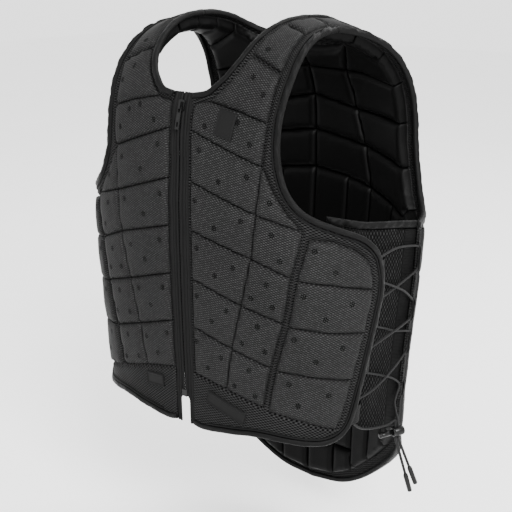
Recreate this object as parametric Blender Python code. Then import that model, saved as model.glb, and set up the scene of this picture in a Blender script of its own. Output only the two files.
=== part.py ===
"""Zip-front riding body protector of foam blocks under open mesh, laced at both sides.

Frame: metres, +Z up, +X towards the wearer's left, the front faces -Y. The origin lies midway
between the shoulders, level with the inside of the shoulder arches that the wearer's shoulders fill.

The three padded panels are drawn flat, as sewing patterns, and wrapped onto a body surface.
"""
import math

import bmesh
import bpy
import numpy as np
from mathutils import Matrix, Vector

# Body surface
FRONT_HALF_WIDTH = 0.202
BACK_HALF_WIDTH = 0.196
FRONT_DEPTH = 0.1385
BACK_DEPTH = 0.1285
BODY_DROP = 0.305
SHOULDER_RISE = 0.1430
ARCH_LENGTH = 0.2185
SHOULDER_SLOPE = 0.30
NECK_HALF_WIDTH = 0.078
SECTION_POWER = 2.8
ARCH_POWER = 2.35
ARCH_CENTRE = -0.011
BLEND = 0.30

# Padding, cloth and edges
PAD = 0.020
SHEET = 0.004
SHEET_INSET = 0.002
GROOVE_WIDTH = 0.0052
GROOVE_FRONT = 0.0050
GROOVE_LEFT_OVER = 0.0070
BINDING_WIDTH = 0.0080
BINDING_PROUD = 0.0006
BINDING_THICK = 0.0066
MESH_BORDER = 0.0085
NECK_BORDER = 0.0035
GAP = 0.0003
EDGE_GAP = 0.0009
SHOULDER_GAP = 0.0005

# Zip
TAPE_WIDTH = 0.0140
TAPE_THICK = 0.0014
TAPE_INSET = 0.0030
SLIT_HALF_WIDTH = 0.0065
CHAIN_WIDTH = 0.0056
CHAIN_THICK = 0.0022
ZIP_BORDER = 0.0032
SLIDER_LEVEL = 0.235
SLIDER_WIDTH = 0.0086
SLIDER_HEIGHT = 0.0125
SLIDER_PLATE = 0.0018
CROWN_WIDTH = 0.0022
CROWN_HEIGHT = 0.0046
PIVOT_RADIUS = 0.0007
PIVOT_CLEARANCE = 0.0004
PULL_LENGTH = 0.0240
PULL_WIDTH = 0.0056
PULL_THICK = 0.0014
ZIP_BOX_WIDTH = 0.0075
ZIP_BOX_HEIGHT = 0.0085
ZIP_BOX_THICK = 0.0020

# Side panels and lacing
SIDE_THICK = 0.0026
TAB_WIDTH = 0.0105
TAB_THICK = 0.0016
TAB_BACK = 0.0082
WEB_WIDTH = 0.0120
WEB_THICK = 0.0014
LACE_RADIUS = 0.0013
LACE_SPACING = 0.0112
LACE_CLEARANCE = 0.0008

# Cord lock
LOCK_RADIUS = 0.0056
LOCK_WALL = 0.0010
PLUNGER_RADIUS = 0.0031
PLUNGER_REACH = 0.0170
PLUNGER_TRAVEL = 0.0025
PLUNGER_FIT = 0.0003
CORD_RADIUS = 0.0016
CORD_SPACING = 0.0064
TIP_RADIUS = 0.0028
TIP_LENGTH = 0.0230
LOCK_PLACE = (1.055, -1.025, 0.0075)
LOCK_AXIS = Vector((-0.45, -0.89, -0.08)).normalized()
LOCK_DOWN = (Vector((0.0, 0.0, -1.0)) + LOCK_AXIS * LOCK_AXIS.z).normalized()
LOCK_END = LOCK_RADIUS + 0.0009
CORD_SPREAD = CORD_RADIUS + 0.00015
CORD_OUT = ((0.215, 0.17, -0.96), (0.28, 0.225, -0.933))
CORD_LENGTHS = (0.0470, 0.0400)

# Shares of the widths and depths down the body: level, front width, back width, front depth, back depth.
# Level 0 is the chest line, -1 is one BODY_DROP below it, +1 is the top of the shoulder arch.
BODY = (
    (0.000, 0.945, 0.967, 0.980, 0.993),
    (-0.152, 0.982, 0.995, 1.000, 1.000),
    (-0.274, 1.000, 1.000, 1.000, 0.986),
    (-0.457, 0.991, 0.986, 0.993, 0.964),
    (-0.640, 0.963, 0.957, 0.980, 0.942),
    (-0.793, 0.940, 0.934, 0.966, 0.935),
    (-0.945, 0.922, 0.915, 0.960, 0.932),
    (-1.189, 0.908, 0.900, 0.940, 0.930),
    (-1.616, 0.885, 0.872, 0.913, 0.935),
)

# Edges of the front panel: share of the quarter girth from the zip, level.
FRONT_NECK = (
    (0.052, 0.302), (0.114, 0.319), (0.153, 0.362), (0.181, 0.404), (0.204, 0.464),
    (0.219, 0.528), (0.234, 0.640), (0.250, 0.800), (0.262, 1.000),
)
FRONT_EDGE = (
    (0.438, 1.000), (0.446, 0.774), (0.466, 0.460), (0.459, 0.205), (0.464, 0.034), (0.487, -0.067),
    (0.531, -0.126), (0.588, -0.160), (0.664, -0.188), (0.764, -0.226), (0.826, -0.274), (0.859, -0.323),
    (0.880, -0.421), (0.852, -0.588), (0.815, -0.762), (0.781, -0.899), (0.740, -0.960), (0.672, -0.988),
    (0.584, -0.991), (0.393, -0.976), (0.255, -0.988), (0.105, -1.003), (0.052, -0.996),
)

# Rows of blocks below the chest: level at the zip; share and level at the seam, at the channel's two
# sides and halfway along the flap block.
FRONT_ROWS = (
    (-0.079, (0.355, -0.162), (0.534, -0.205), (0.556, -0.232), (0.645, -0.246)),
    (-0.253, (0.331, -0.317), (0.488, -0.369), (0.513, -0.378), (0.644, -0.392)),
    (-0.430, (0.289, -0.490), (0.463, -0.534), (0.487, -0.545), (0.617, -0.561)),
    (-0.610, (0.249, -0.659), (0.420, -0.704), (0.445, -0.712), (0.592, -0.728)),
    (-0.788, (0.222, -0.817), (0.393, -0.857), (0.418, -0.868), (0.563, -0.898)),
)
SEAM_TOP = (0.388, 0.000)
FLAP_CORNER = (0.702, -0.935)
ZIP_ROW_TOP = 0.128
ZIP_BOTTOM = -0.884

# Edges of the back panel: share of the quarter girth from the middle of the back, level.
BACK_NECK = (
    (0.000, 0.560), (0.118, 0.566), (0.196, 0.584), (0.240, 0.630), (0.264, 0.710), (0.276, 0.840),
    (0.269, 1.000),
)
BACK_EDGE = (
    (0.448, 1.000), (0.498, 0.830), (0.557, 0.600), (0.594, 0.366), (0.600, 0.250), (0.606, 0.110),
    (0.611, 0.000), (0.618, -0.090), (0.634, -0.160), (0.668, -0.203), (0.715, -0.226), (0.790, -0.236),
    (0.866, -0.240), (0.866, -0.457), (0.866, -0.760), (0.866, -1.040), (0.829, -1.085), (0.720, -1.186),
    (0.618, -1.268), (0.464, -1.378), (0.325, -1.465), (0.186, -1.518), (0.000, -1.537),
)

# Rows of the upper back: level at the middle, share and level at the seam beside it.
BACK_ROWS = (
    (0.383, (0.207, 0.366)),
    (0.196, (0.242, 0.132)),
    (-0.003, (0.295, -0.043)),
    (-0.159, (0.325, -0.207)),
)
# Upright strips of the lower back: share, level of the top, levels of the breaks.
BACK_STRIPS = (
    (0.000, -0.159), (0.186, -0.180), (0.325, -0.207), (0.474, -0.250), (0.570, -0.285),
    (0.680, -0.330), (0.800, -0.345),
)
BACK_BREAKS = (-0.457, -0.747, -1.037, -1.326)

# Levels of the top and bottom of each web loop on the flap side, and its share of the quarter girth.
TABS = ((-0.341, -0.409, 0.900), (-0.500, -0.576, 0.896), (-0.692, -0.750, 0.866), (-0.875, -0.933, 0.832))

# Side panel: girth, depth of its outer face, level of the top, level of the bottom.
SIDE = (
    (0.640, -0.0245, -0.165, -0.945),
    (0.720, -0.0240, -0.175, -0.950),
    (0.800, -0.0218, -0.187, -0.955),
    (0.860, -0.0218, -0.198, -0.975),
    (0.950, -0.0150, -0.209, -1.005),
    (1.050, -0.0100, -0.222, -1.025),
    (1.134, -0.0030, -0.235, -1.040),
)
ELASTIC_START = 1.062
SIDE_END = 1.129

# Patches: name, share, level, width, height, turn in degrees. A negative share is on the wearer's right.
PATCHES = (
    ("chest_patch", 0.232, 0.175, 0.0235, 0.0262, -13.0),
    ("label_right", -0.172, -0.862, 0.0300, 0.0150, 3.0),
    ("label_left", 0.222, -0.888, 0.0560, 0.0150, -17.0),
)
PATCH_THICK = 0.0008
PATCH_ROWS = 6

# Route of the lace: girth, level, height of its centre above the side panel's face. None runs it
# inside the web strip of the back panel's edge.
LACE = (
    (1.078, -0.952, 0.0080), (1.094, -0.925, 0.0030), (1.110, -0.898, 0.0018),
    (1.118, -0.862, 0.0018), (1.060, -0.825, 0.0018), (0.960, -0.790, 0.0018), (0.880, -0.764, 0.0026),
    (0.866, -0.740, 0.0040), (0.866, -0.702, 0.0040), (0.890, -0.680, 0.0040), (0.960, -0.650, 0.0046),
    (1.050, -0.625, 0.0050), (1.128, -0.605, 0.0022), (1.147, -0.590, None), (1.147, -0.545, None),
    (1.128, -0.528, 0.0022), (1.050, -0.480, 0.0050), (0.960, -0.440, 0.0042), (0.912, -0.420, 0.0040),
    (0.900, -0.400, 0.0040), (0.900, -0.350, 0.0040), (0.920, -0.330, 0.0036), (1.000, -0.316, 0.0020),
    (1.080, -0.320, 0.0018), (1.128, -0.328, 0.0022), (1.147, -0.345, None), (1.147, -0.400, None),
    (1.128, -0.420, 0.0022), (1.050, -0.452, 0.0016), (0.960, -0.480, 0.0026), (0.908, -0.492, 0.0040),
    (0.896, -0.512, 0.0040), (0.896, -0.565, 0.0040), (0.912, -0.590, 0.0036), (0.980, -0.615, 0.0016),
    (1.050, -0.638, 0.0016), (1.128, -0.652, 0.0022), (1.147, -0.668, None), (1.147, -0.722, None),
    (1.128, -0.740, 0.0022), (1.040, -0.790, 0.0050), (0.940, -0.840, 0.0050), (0.850, -0.868, 0.0050),
    (0.832, -0.886, 0.0052), (0.832, -0.925, 0.0052), (0.845, -0.955, 0.0052), (0.900, -0.988, 0.0040),
    (0.960, -0.998, 0.0060), (1.012, -0.992, 0.0120),
)


# Body surface functions

def arc_table(width, depth, power):
    """Angles of a quarter superellipse and the share of its length reached at each."""
    angle = np.linspace(0.0, math.pi / 2.0, 2001)
    x = width * np.sin(angle) ** (2.0 / power)
    y = depth * np.cos(angle) ** (2.0 / power)
    length = np.concatenate([[0.0], np.cumsum(np.hypot(np.diff(x), np.diff(y)))])
    return angle, length / length[-1], length[-1]


FRONT_ANGLE, FRONT_SHARE, QUARTER = arc_table(FRONT_HALF_WIDTH, FRONT_DEPTH, SECTION_POWER)
BACK_ANGLE, BACK_SHARE, _ = arc_table(BACK_HALF_WIDTH, BACK_DEPTH, SECTION_POWER)
ARCH_ANGLE, ARCH_SHARE, _ = arc_table(1.0, 1.0, ARCH_POWER)
CHEST = PAD + 0.002 - SHOULDER_RISE
BODY_COLUMNS = np.array(BODY)[::-1].T


def surface(girth, level):
    """Outer body surface. Girth runs 0 front middle, 1 side, 2 back middle, negative to the right."""
    girth = np.asarray(girth, float)
    level = np.asarray(level, float)
    side = np.sign(girth)
    around = np.abs(girth)
    front = around <= 1.0
    angle = np.where(
        front,
        np.interp(around, FRONT_SHARE, FRONT_ANGLE),
        np.interp(2.0 - around, BACK_SHARE, BACK_ANGLE),
    )
    sine, cosine = np.sin(angle), np.cos(angle)
    low = np.minimum(level, 0.0)
    wide_f, wide_b, deep_f, deep_b = (np.interp(low, BODY_COLUMNS[0], column) for column in BODY_COLUMNS[1:])
    mix = 0.5 + 0.5 * np.clip(np.where(front, cosine, -cosine) / BLEND, -1.0, 1.0)
    width = mix * wide_f * FRONT_HALF_WIDTH + (1.0 - mix) * wide_b * BACK_HALF_WIDTH
    x = side * width * sine ** (2.0 / SECTION_POWER)
    y = np.where(front, -deep_f * FRONT_DEPTH, deep_b * BACK_DEPTH) * cosine ** (2.0 / SECTION_POWER)
    turn = np.interp(np.clip(level, 0.0, 1.0), ARCH_SHARE, ARCH_ANGLE)
    rise = SHOULDER_RISE - SHOULDER_SLOPE * np.clip(np.abs(x) - NECK_HALF_WIDTH, 0.0, None)
    z = CHEST + low * BODY_DROP + rise * np.sin(turn) ** (2.0 / ARCH_POWER)
    y = np.where(level > 0.0, ARCH_CENTRE + (y - ARCH_CENTRE) * np.cos(turn) ** (2.0 / ARCH_POWER), y)
    return np.stack([x, y, z], -1)


def wrap(girth, level, depth):
    """Point of the body surface moved out by depth along the normal."""
    girth = np.asarray(girth, float)
    level = np.asarray(level, float)
    step = 0.006
    top = np.minimum(level + step, 1.0)
    along = surface(girth + step, level) - surface(girth - step, level)
    up = surface(girth, top) - surface(girth, level - step)
    normal = np.cross(along, up)
    normal /= np.linalg.norm(normal, axis=-1, keepdims=True)
    return surface(girth, level) + normal * np.asarray(depth, float)[..., None]


def flat(share, level):
    """Pattern coordinates in metres of a share and a level."""
    return Vector((share * QUARTER, level * (BODY_DROP if level < 0.0 else ARCH_LENGTH)))


def level_of(y):
    """Level of a pattern height."""
    return np.where(y < 0.0, y / BODY_DROP, y / ARCH_LENGTH)


def wrap_front(x, y, depth):
    """Wrap pattern points of a front panel. A negative x is on the wearer's right."""
    return wrap(x / QUARTER, level_of(y), depth)


def wrap_back(x, y, depth):
    """Wrap pattern points of the back panel. A negative x is on the wearer's right."""
    girth = np.where(x < 0.0, -2.0 - x / QUARTER, 2.0 - x / QUARTER)
    return wrap(girth, level_of(y), depth)


def offset_line(points, distance):
    """Move a pattern line to its left by distance, with mitred corners."""
    moved = []
    for index, point in enumerate(points):
        before = points[max(index - 1, 0)]
        after = points[min(index + 1, len(points) - 1)]
        first = (point - before) if index > 0 else (after - point)
        second = (after - point) if index < len(points) - 1 else (point - before)
        first, second = first.normalized(), second.normalized()
        normal = Vector((-first.y - second.y, first.x + second.x)).normalized()
        stretch = 1.0 / max(normal.dot(Vector((-first.y, first.x))), 0.6)
        moved.append(point + normal * distance * stretch)
    return moved


def level_ends(points, sources):
    """Keep the ends of a moved line at the heights of the ends of its source."""
    for index in (0, -1):
        points[index].y = sources[index].y
    return points


# Scene helpers

def material(name, colour, roughness, metallic=0.0):
    """Principled material with one colour."""
    result = bpy.data.materials.new(name)
    result.use_nodes = True
    shader = result.node_tree.nodes["Principled BSDF"]
    shader.inputs["Base Color"].default_value = (*colour, 1.0)
    shader.inputs["Roughness"].default_value = roughness
    shader.inputs["Metallic"].default_value = metallic
    return result


def add_object(name, bm, look, smooth=35.0):
    """Turn a bmesh into a named object."""
    bmesh.ops.recalc_face_normals(bm, faces=bm.faces)
    mesh = bpy.data.meshes.new(name)
    bm.to_mesh(mesh)
    bm.free()
    mesh.shade_smooth()
    mesh.set_sharp_from_angle(angle=math.radians(smooth))
    obj = bpy.data.objects.new(name, mesh)
    mesh.materials.append(look)
    bpy.context.collection.objects.link(obj)
    return obj


def mirrored(points):
    """Pattern points on the other side of the middle."""
    return [Vector((-point.x, point.y)) for point in reversed(points)]


def with_joints(points, corners):
    """Polygon with every other corner that lies on one of its sides added to it."""
    joined = []
    for first, second in zip(points, points[1:] + points[:1]):
        joined.append(first)
        side = second - first
        length = side.length
        if length < 1e-6:
            continue
        found = []
        for corner in corners:
            along = (corner - first).dot(side) / length
            across = abs((corner - first).cross(side)) / length
            if across < 2e-5 and 1e-4 < along < length - 1e-4:
                found.append((along, corner))
        joined.extend(corner for _, corner in sorted(found, key=lambda item: item[0]))
    return joined


def pattern_mesh(blocks, sheets):
    """Flat mesh of a panel, with the depths of its outer and inner face on each vertex."""
    bm = bmesh.new()
    outer = bm.verts.layers.float.new("outer")
    inner = bm.verts.layers.float.new("inner")
    made = {}

    def vertex(point):
        key = (round(point.x, 5), round(point.y, 5))
        if key not in made:
            made[key] = bm.verts.new((point.x, point.y, 0.0))
        return made[key]

    def face(points):
        corners = []
        for point in points:
            corner = vertex(point)
            if corner not in corners:
                corners.append(corner)
        return bm.faces.new(corners)

    corners = {(round(p.x, 5), round(p.y, 5)): p for points in blocks + sheets for p in points}
    thin = [face(with_joints(points, corners.values())) for points in sheets]
    thick = [face(with_joints(points, corners.values())) for points in blocks]
    bmesh.ops.recalc_face_normals(bm, faces=bm.faces)
    for item in bm.faces:
        if item.normal.z < 0.0:
            item.normal_flip()
    for item in bm.verts:
        item[outer] = -GROOVE_FRONT
        item[inner] = -GROOVE_FRONT - GROOVE_LEFT_OVER
    for item in thin:
        for corner in item.verts:
            corner[outer] = -SHEET_INSET
            corner[inner] = -SHEET_INSET - SHEET
    bmesh.ops.inset_individual(bm, faces=thick, thickness=GROOVE_WIDTH / 2.0, use_even_offset=False)
    for item in thick:
        for corner in item.verts:
            corner[outer] = 0.0
            corner[inner] = -PAD
    return bm


def cut_lines(bm, axis, places):
    """Cut a flat mesh along straight lines so that it can follow the body."""
    for place in places:
        point = Vector((0.0, 0.0, 0.0))
        point[axis] = place
        normal = Vector((0.0, 0.0, 0.0))
        normal[axis] = 1.0
        geometry = bm.verts[:] + bm.edges[:] + bm.faces[:]
        bmesh.ops.bisect_plane(bm, geom=geometry, dist=1e-5, plane_co=point, plane_no=normal)


def wrapped_panel(name, bm, wrapper, look):
    """Closed solid from a flat panel mesh wrapped onto the body."""
    bmesh.ops.triangulate(bm, faces=bm.faces)
    outer = bm.verts.layers.float["outer"]
    inner = bm.verts.layers.float["inner"]
    bm.verts.index_update()
    x = np.array([item.co.x for item in bm.verts])
    y = np.array([item.co.y for item in bm.verts])
    front = wrapper(x, y, np.array([item[outer] for item in bm.verts]))
    back = wrapper(x, y, np.array([item[inner] for item in bm.verts]))
    solid = bmesh.new()
    front_verts = [solid.verts.new(point) for point in front]
    back_verts = [solid.verts.new(point) for point in back]
    for item in bm.faces:
        indices = [corner.index for corner in item.verts]
        solid.faces.new([front_verts[index] for index in indices])
        solid.faces.new([back_verts[index] for index in reversed(indices)])
    for edge in bm.edges:
        if len(edge.link_faces) == 1:
            first, second = (corner.index for corner in edge.verts)
            solid.faces.new([front_verts[first], front_verts[second], back_verts[second], back_verts[first]])
    bm.free()
    return add_object(name, solid, look)


def tube_of_sections(name, sections, look, closed=False):
    """Closed body through a list of matching corner rings."""
    bm = bmesh.new()
    rings = [[bm.verts.new(point) for point in section] for section in sections]
    count = len(rings[0])
    pairs = list(zip(rings, rings[1:] + rings[:1]))
    for first, second in pairs if closed else pairs[:-1]:
        for index in range(count):
            after = (index + 1) % count
            bm.faces.new([first[index], first[after], second[after], second[index]])
    if not closed:
        bm.faces.new(rings[0])
        bm.faces.new(list(reversed(rings[-1])))
    return add_object(name, bm, look)


def band(wrapper, edge, width, proud, thick, ends=None):
    """Corner rings of a flat band beside a pattern line. Its inner ends lie level or at a height."""
    other = offset_line(edge, width)
    if ends == "level":
        level_ends(other, edge)
    elif ends is not None:
        for index in (0, -1):
            other[index] = Vector((edge[index].x, ends))
    x = np.array([[a.x, a.x, b.x, b.x] for a, b in zip(edge, other)])
    y = np.array([[a.y, a.y, b.y, b.y] for a, b in zip(edge, other)])
    depth = np.array([[proud, proud - thick, proud - thick, proud]] * len(edge))
    return list(wrapper(x, y, depth))


def flip(sections):
    """Mirror corner rings to the wearer's right."""
    return [[(-point[0], point[1], point[2]) for point in section] for section in sections]


# Front panels

def front_lines():
    """Pattern lines of the left front panel: its edge, the sheet's edge and the blocks' edge."""
    edge = [flat(*point) for point in FRONT_EDGE]
    edge[0].y -= SHOULDER_GAP
    neck = [flat(*point) for point in FRONT_NECK]
    neck[-1].y -= SHOULDER_GAP
    return edge, neck


def front_panel_faces():
    """Blocks and thin sheets of the left front panel as pattern polygons."""
    edge, neck = front_lines()
    sheet = level_ends(offset_line(edge, -BINDING_WIDTH - EDGE_GAP), edge)
    block = level_ends(offset_line(edge, -BINDING_WIDTH - MESH_BORDER), edge)
    neck_sheet = level_ends(offset_line(neck, -BINDING_WIDTH - EDGE_GAP), neck)
    neck_block = level_ends(offset_line(neck, -BINDING_WIDTH - NECK_BORDER), neck)
    zip_sheet = TAPE_WIDTH + GAP
    zip_block = TAPE_WIDTH + ZIP_BORDER
    neck_sheet[0] = Vector((zip_sheet, neck[0].y - BINDING_WIDTH - EDGE_GAP))
    neck_block[0] = Vector((zip_block, neck[0].y - BINDING_WIDTH - NECK_BORDER))
    block[4] = flat(*SEAM_TOP)
    block[7] = flat(*FRONT_ROWS[0][3])
    zip_line = [flat(0.0, ZIP_ROW_TOP)] + [flat(0.0, row[0]) for row in FRONT_ROWS]
    zip_b = [Vector((zip_block, point.y)) for point in zip_line]
    zip_s = [Vector((zip_sheet, point.y)) for point in zip_line]
    seam, left, right, middle = ([flat(*row[column]) for row in FRONT_ROWS] for column in (1, 2, 3, 4))
    corner = flat(*FLAP_CORNER)
    blocks = [
        [neck_block[8], neck_block[7], block[1], block[0]],
        [neck_block[7], neck_block[6], neck_block[5], block[2], block[1]],
        [*reversed(neck_block[1:6]), block[3], block[2]],
        [neck_block[1], neck_block[0], zip_b[0], block[4], block[3]],
        [zip_b[0], zip_b[1], seam[0], block[4]],
        [block[4], seam[0], left[0], block[6], block[5]],
    ]
    for row in range(4):
        blocks.append([zip_b[row + 1], zip_b[row + 2], seam[row + 1], seam[row]])
        blocks.append([seam[row], seam[row + 1], left[row + 1], left[row]])
    flap_sides = [
        [block[8], right[0], right[1], middle[1], *reversed(block[9:13])],
        [right[1], right[2], middle[2], block[13], block[12], middle[1]],
        [right[2], right[3], middle[3], block[14], block[13], middle[2]],
        [right[3], right[4], middle[4], corner, block[15], block[14], middle[3]],
    ]
    blocks.extend(flap_sides)
    sheets = [[left[row], left[row + 1], right[row + 1], right[row]] for row in range(4)]
    envelope = block[:6] + [block[6], left[0], right[0]] + block[8:16] + [corner]
    outside = sheet[:6] + [sheet[6], sheet[7], sheet[7]] + sheet[8:16] + [sheet[16]]
    sheets.extend(ring_faces(envelope, outside))
    hem_in = [corner, middle[4], right[4], left[4], seam[4], zip_b[5]]
    hem_out = [sheet[17], sheet[18], sheet[19], sheet[19], sheet[20], sheet[21]]
    sheets.append([corner, sheet[17], sheet[16]])
    sheets.extend(ring_faces(hem_in, hem_out))
    tip = Vector((zip_sheet, sheet[21].y))
    sheets.append([zip_b[5], sheet[21], tip, zip_s[5]])
    sheets.extend(ring_faces(neck_block[1:], neck_sheet[1:]))
    sheets.append([neck_block[0], neck_block[1], neck_sheet[1], neck_sheet[0]])
    sheets.append([neck_block[0], neck_sheet[0], zip_s[0], zip_b[0]])
    sheets.extend(ring_faces(zip_b, zip_s))
    return blocks, sheets


def ring_faces(inside, outside):
    """Faces between two matching pattern lines."""
    faces = []
    for index in range(len(inside) - 1):
        faces.append([inside[index], inside[index + 1], outside[index + 1], outside[index]])
    return faces


def make_front_panels(looks):
    """Both front panels."""
    blocks, sheets = front_panel_faces()
    for name, sign in (("front_panel_left", 1.0), ("front_panel_right", -1.0)):
        bm = pattern_mesh(blocks, sheets)
        cut_lines(bm, 0, [QUARTER * share for share in (0.12, 0.30, 0.46, 0.60, 0.70, 0.79)])
        cut_lines(bm, 1, [ARCH_LENGTH * share for share in (0.12, 0.40, 0.62, 0.90)])
        wrapper = lambda x, y, depth, side=sign: wrap_front(x, y, depth) * np.array([side, 1.0, 1.0])
        wrapped_panel(name, bm, wrapper, looks["mesh"])


# Back panel

def back_panel_faces():
    """Blocks and thin sheets of the left half of the back panel as pattern polygons."""
    edge = [flat(*point) for point in BACK_EDGE]
    neck = [flat(*point) for point in BACK_NECK]
    edge[0].y -= SHOULDER_GAP
    neck[-1].y -= SHOULDER_GAP
    sheet = offset_line(edge, -BINDING_WIDTH - EDGE_GAP)
    block = offset_line(edge, -BINDING_WIDTH - MESH_BORDER)
    neck_sheet = offset_line(neck, -BINDING_WIDTH - EDGE_GAP)
    neck_block = offset_line(neck, -BINDING_WIDTH - NECK_BORDER)
    for line, source in ((sheet, edge), (block, edge), (neck_sheet, neck), (neck_block, neck)):
        line[0 if source is edge else -1].y = source[0 if source is edge else -1].y
        line[-1 if source is edge else 0].x = 0.0
    middle = [flat(0.0, row[0]) for row in BACK_ROWS]
    seam = [flat(*row[1]) for row in BACK_ROWS]
    tops = [flat(*strip) for strip in BACK_STRIPS]
    tops[5], tops[6] = block[10], block[12]
    ends = [block[22], block[21], block[20], block[19], block[18], block[17], block[15]]
    blocks = [
        [neck_block[0], middle[0], seam[0], *reversed(neck_block[1:5])],
        [neck_block[4], seam[0], block[3], block[2]],
        [neck_block[5], neck_block[4], block[2], block[1]],
        [neck_block[6], neck_block[5], block[1], block[0]],
        [middle[0], middle[1], seam[1], seam[0]],
        [middle[1], middle[2], seam[2], seam[1]],
        [middle[2], tops[0], tops[1], tops[2], seam[2]],
        [seam[0], seam[1], block[5], block[4], block[3]],
        [seam[1], seam[2], block[7], block[6], block[5]],
        [seam[2], tops[2], tops[3], tops[4], block[9], block[8], block[7]],
    ]
    blocks.extend(strip_blocks(tops, ends, block))
    for index in (12, 13, 14, 15):
        sheet[index].x = edge[index].x - GAP
    sheets = ring_faces(block, sheet)
    sheets.extend(ring_faces(neck_block, neck_sheet))
    return blocks, sheets


def strip_blocks(tops, ends, block):
    """Blocks of the upright strips of the lower back."""
    blocks = []
    for index in range(len(tops) - 1):
        first, second = tops[index], tops[index + 1]
        low = max(ends[index].y, ends[index + 1].y)
        heights = [level * BODY_DROP for level in BACK_BREAKS if level * BODY_DROP > low + 0.02]
        upper = [first, second]
        extra = {4: [block[9]], 5: [block[11]]}.get(index, [])
        for height in heights:
            lower = [break_point(tops, ends, index, height), break_point(tops, ends, index + 1, height)]
            blocks.append([upper[0], lower[0], lower[1], upper[1], *extra])
            upper, extra = lower, []
        tail = [block[16]] if index == 5 else []
        blocks.append([upper[0], ends[index], *reversed(tail), ends[index + 1], upper[1]])
    return blocks


def break_point(tops, ends, index, height):
    """Point of an upright strip line at one height."""
    share = (tops[index].y - height) / (tops[index].y - ends[index].y)
    return tops[index].lerp(ends[index], min(max(share, 0.0), 1.0))


def make_back_panel(looks):
    """Back panel with its tail."""
    blocks, sheets = back_panel_faces()
    blocks = blocks + [mirrored(points) for points in blocks]
    sheets = sheets + [mirrored(points) for points in sheets]
    bm = pattern_mesh(blocks, sheets)
    for sign in (1.0, -1.0):
        cut_lines(bm, 0, [sign * QUARTER * share for share in (0.40, 0.62, 0.74)])
    cut_lines(bm, 1, [ARCH_LENGTH * share for share in (0.10, 0.28, 0.48, 0.70, 0.91)])
    wrapped_panel("back_panel", bm, wrap_back, looks["mesh"])


# Side panels, bindings and webbing

def side_value(girth, column):
    """Value of the side panel's table at a girth."""
    table = np.array(SIDE).T
    return float(np.interp(girth, table[0], table[column]))


def side_sheet(name, start, end, count, look, sign, drop):
    """Thin sheet of a side panel between two girths."""
    sections = []
    for girth in np.linspace(start, end, count):
        depth = side_value(girth, 1)
        top = side_value(girth, 2) - drop
        bottom = side_value(girth, 3)
        levels = np.linspace(top, bottom, 5)
        ring = [wrap(girth, level, depth) for level in levels]
        ring += [wrap(girth, level, depth - SIDE_THICK) for level in reversed(levels)]
        sections.append(ring)
    return tube_of_sections(name, sections if sign > 0 else flip(sections), look)


def top_binding_sections():
    """Corner rings of the binding along the top of a side panel."""
    sections = []
    for girth in np.linspace(SIDE[0][0], SIDE_END, 9):
        depth = side_value(girth, 1)
        top = side_value(girth, 2)
        bottom = top - BINDING_WIDTH / BODY_DROP
        front, back = depth + BINDING_PROUD, depth - SIDE_THICK - BINDING_PROUD
        sections.append([wrap(girth, top, front), wrap(girth, bottom, front),
                         wrap(girth, bottom, back), wrap(girth, top, back)])
    return sections


def web_sections():
    """Corner rings of the web strip on the edge of the back panel, open towards the front."""
    sections = []
    share = BACK_EDGE[12][0]
    outer, inner = share, share - WEB_WIDTH / QUARTER
    foot = inner + 0.0018 / QUARTER
    under = -SHEET_INSET + EDGE_GAP + 2.0 * LACE_RADIUS + LACE_CLEARANCE
    low = -SHEET_INSET + EDGE_GAP
    profile = ((outer, under), (outer, under + WEB_THICK), (inner, under + WEB_THICK), (inner, low),
               (foot, low), (foot, under))
    for level in np.linspace(-0.270, -1.030, 9):
        sections.append([wrap(2.0 - place, level, depth) for place, depth in profile])
    return sections


def tab_sections(top, bottom, share):
    """Corner rings of one web loop under the flap."""
    sections = []
    end = share + 0.016
    start = end - TAB_WIDTH / QUARTER - 0.020
    for level in (top, (top + bottom) / 2.0, bottom):
        sections.append([wrap(girth, level, depth) for girth, depth in (
            (start, -TAB_BACK), (start, -TAB_BACK + TAB_THICK), (end, -TAB_BACK + TAB_THICK), (end, -TAB_BACK))])
    return sections


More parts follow.
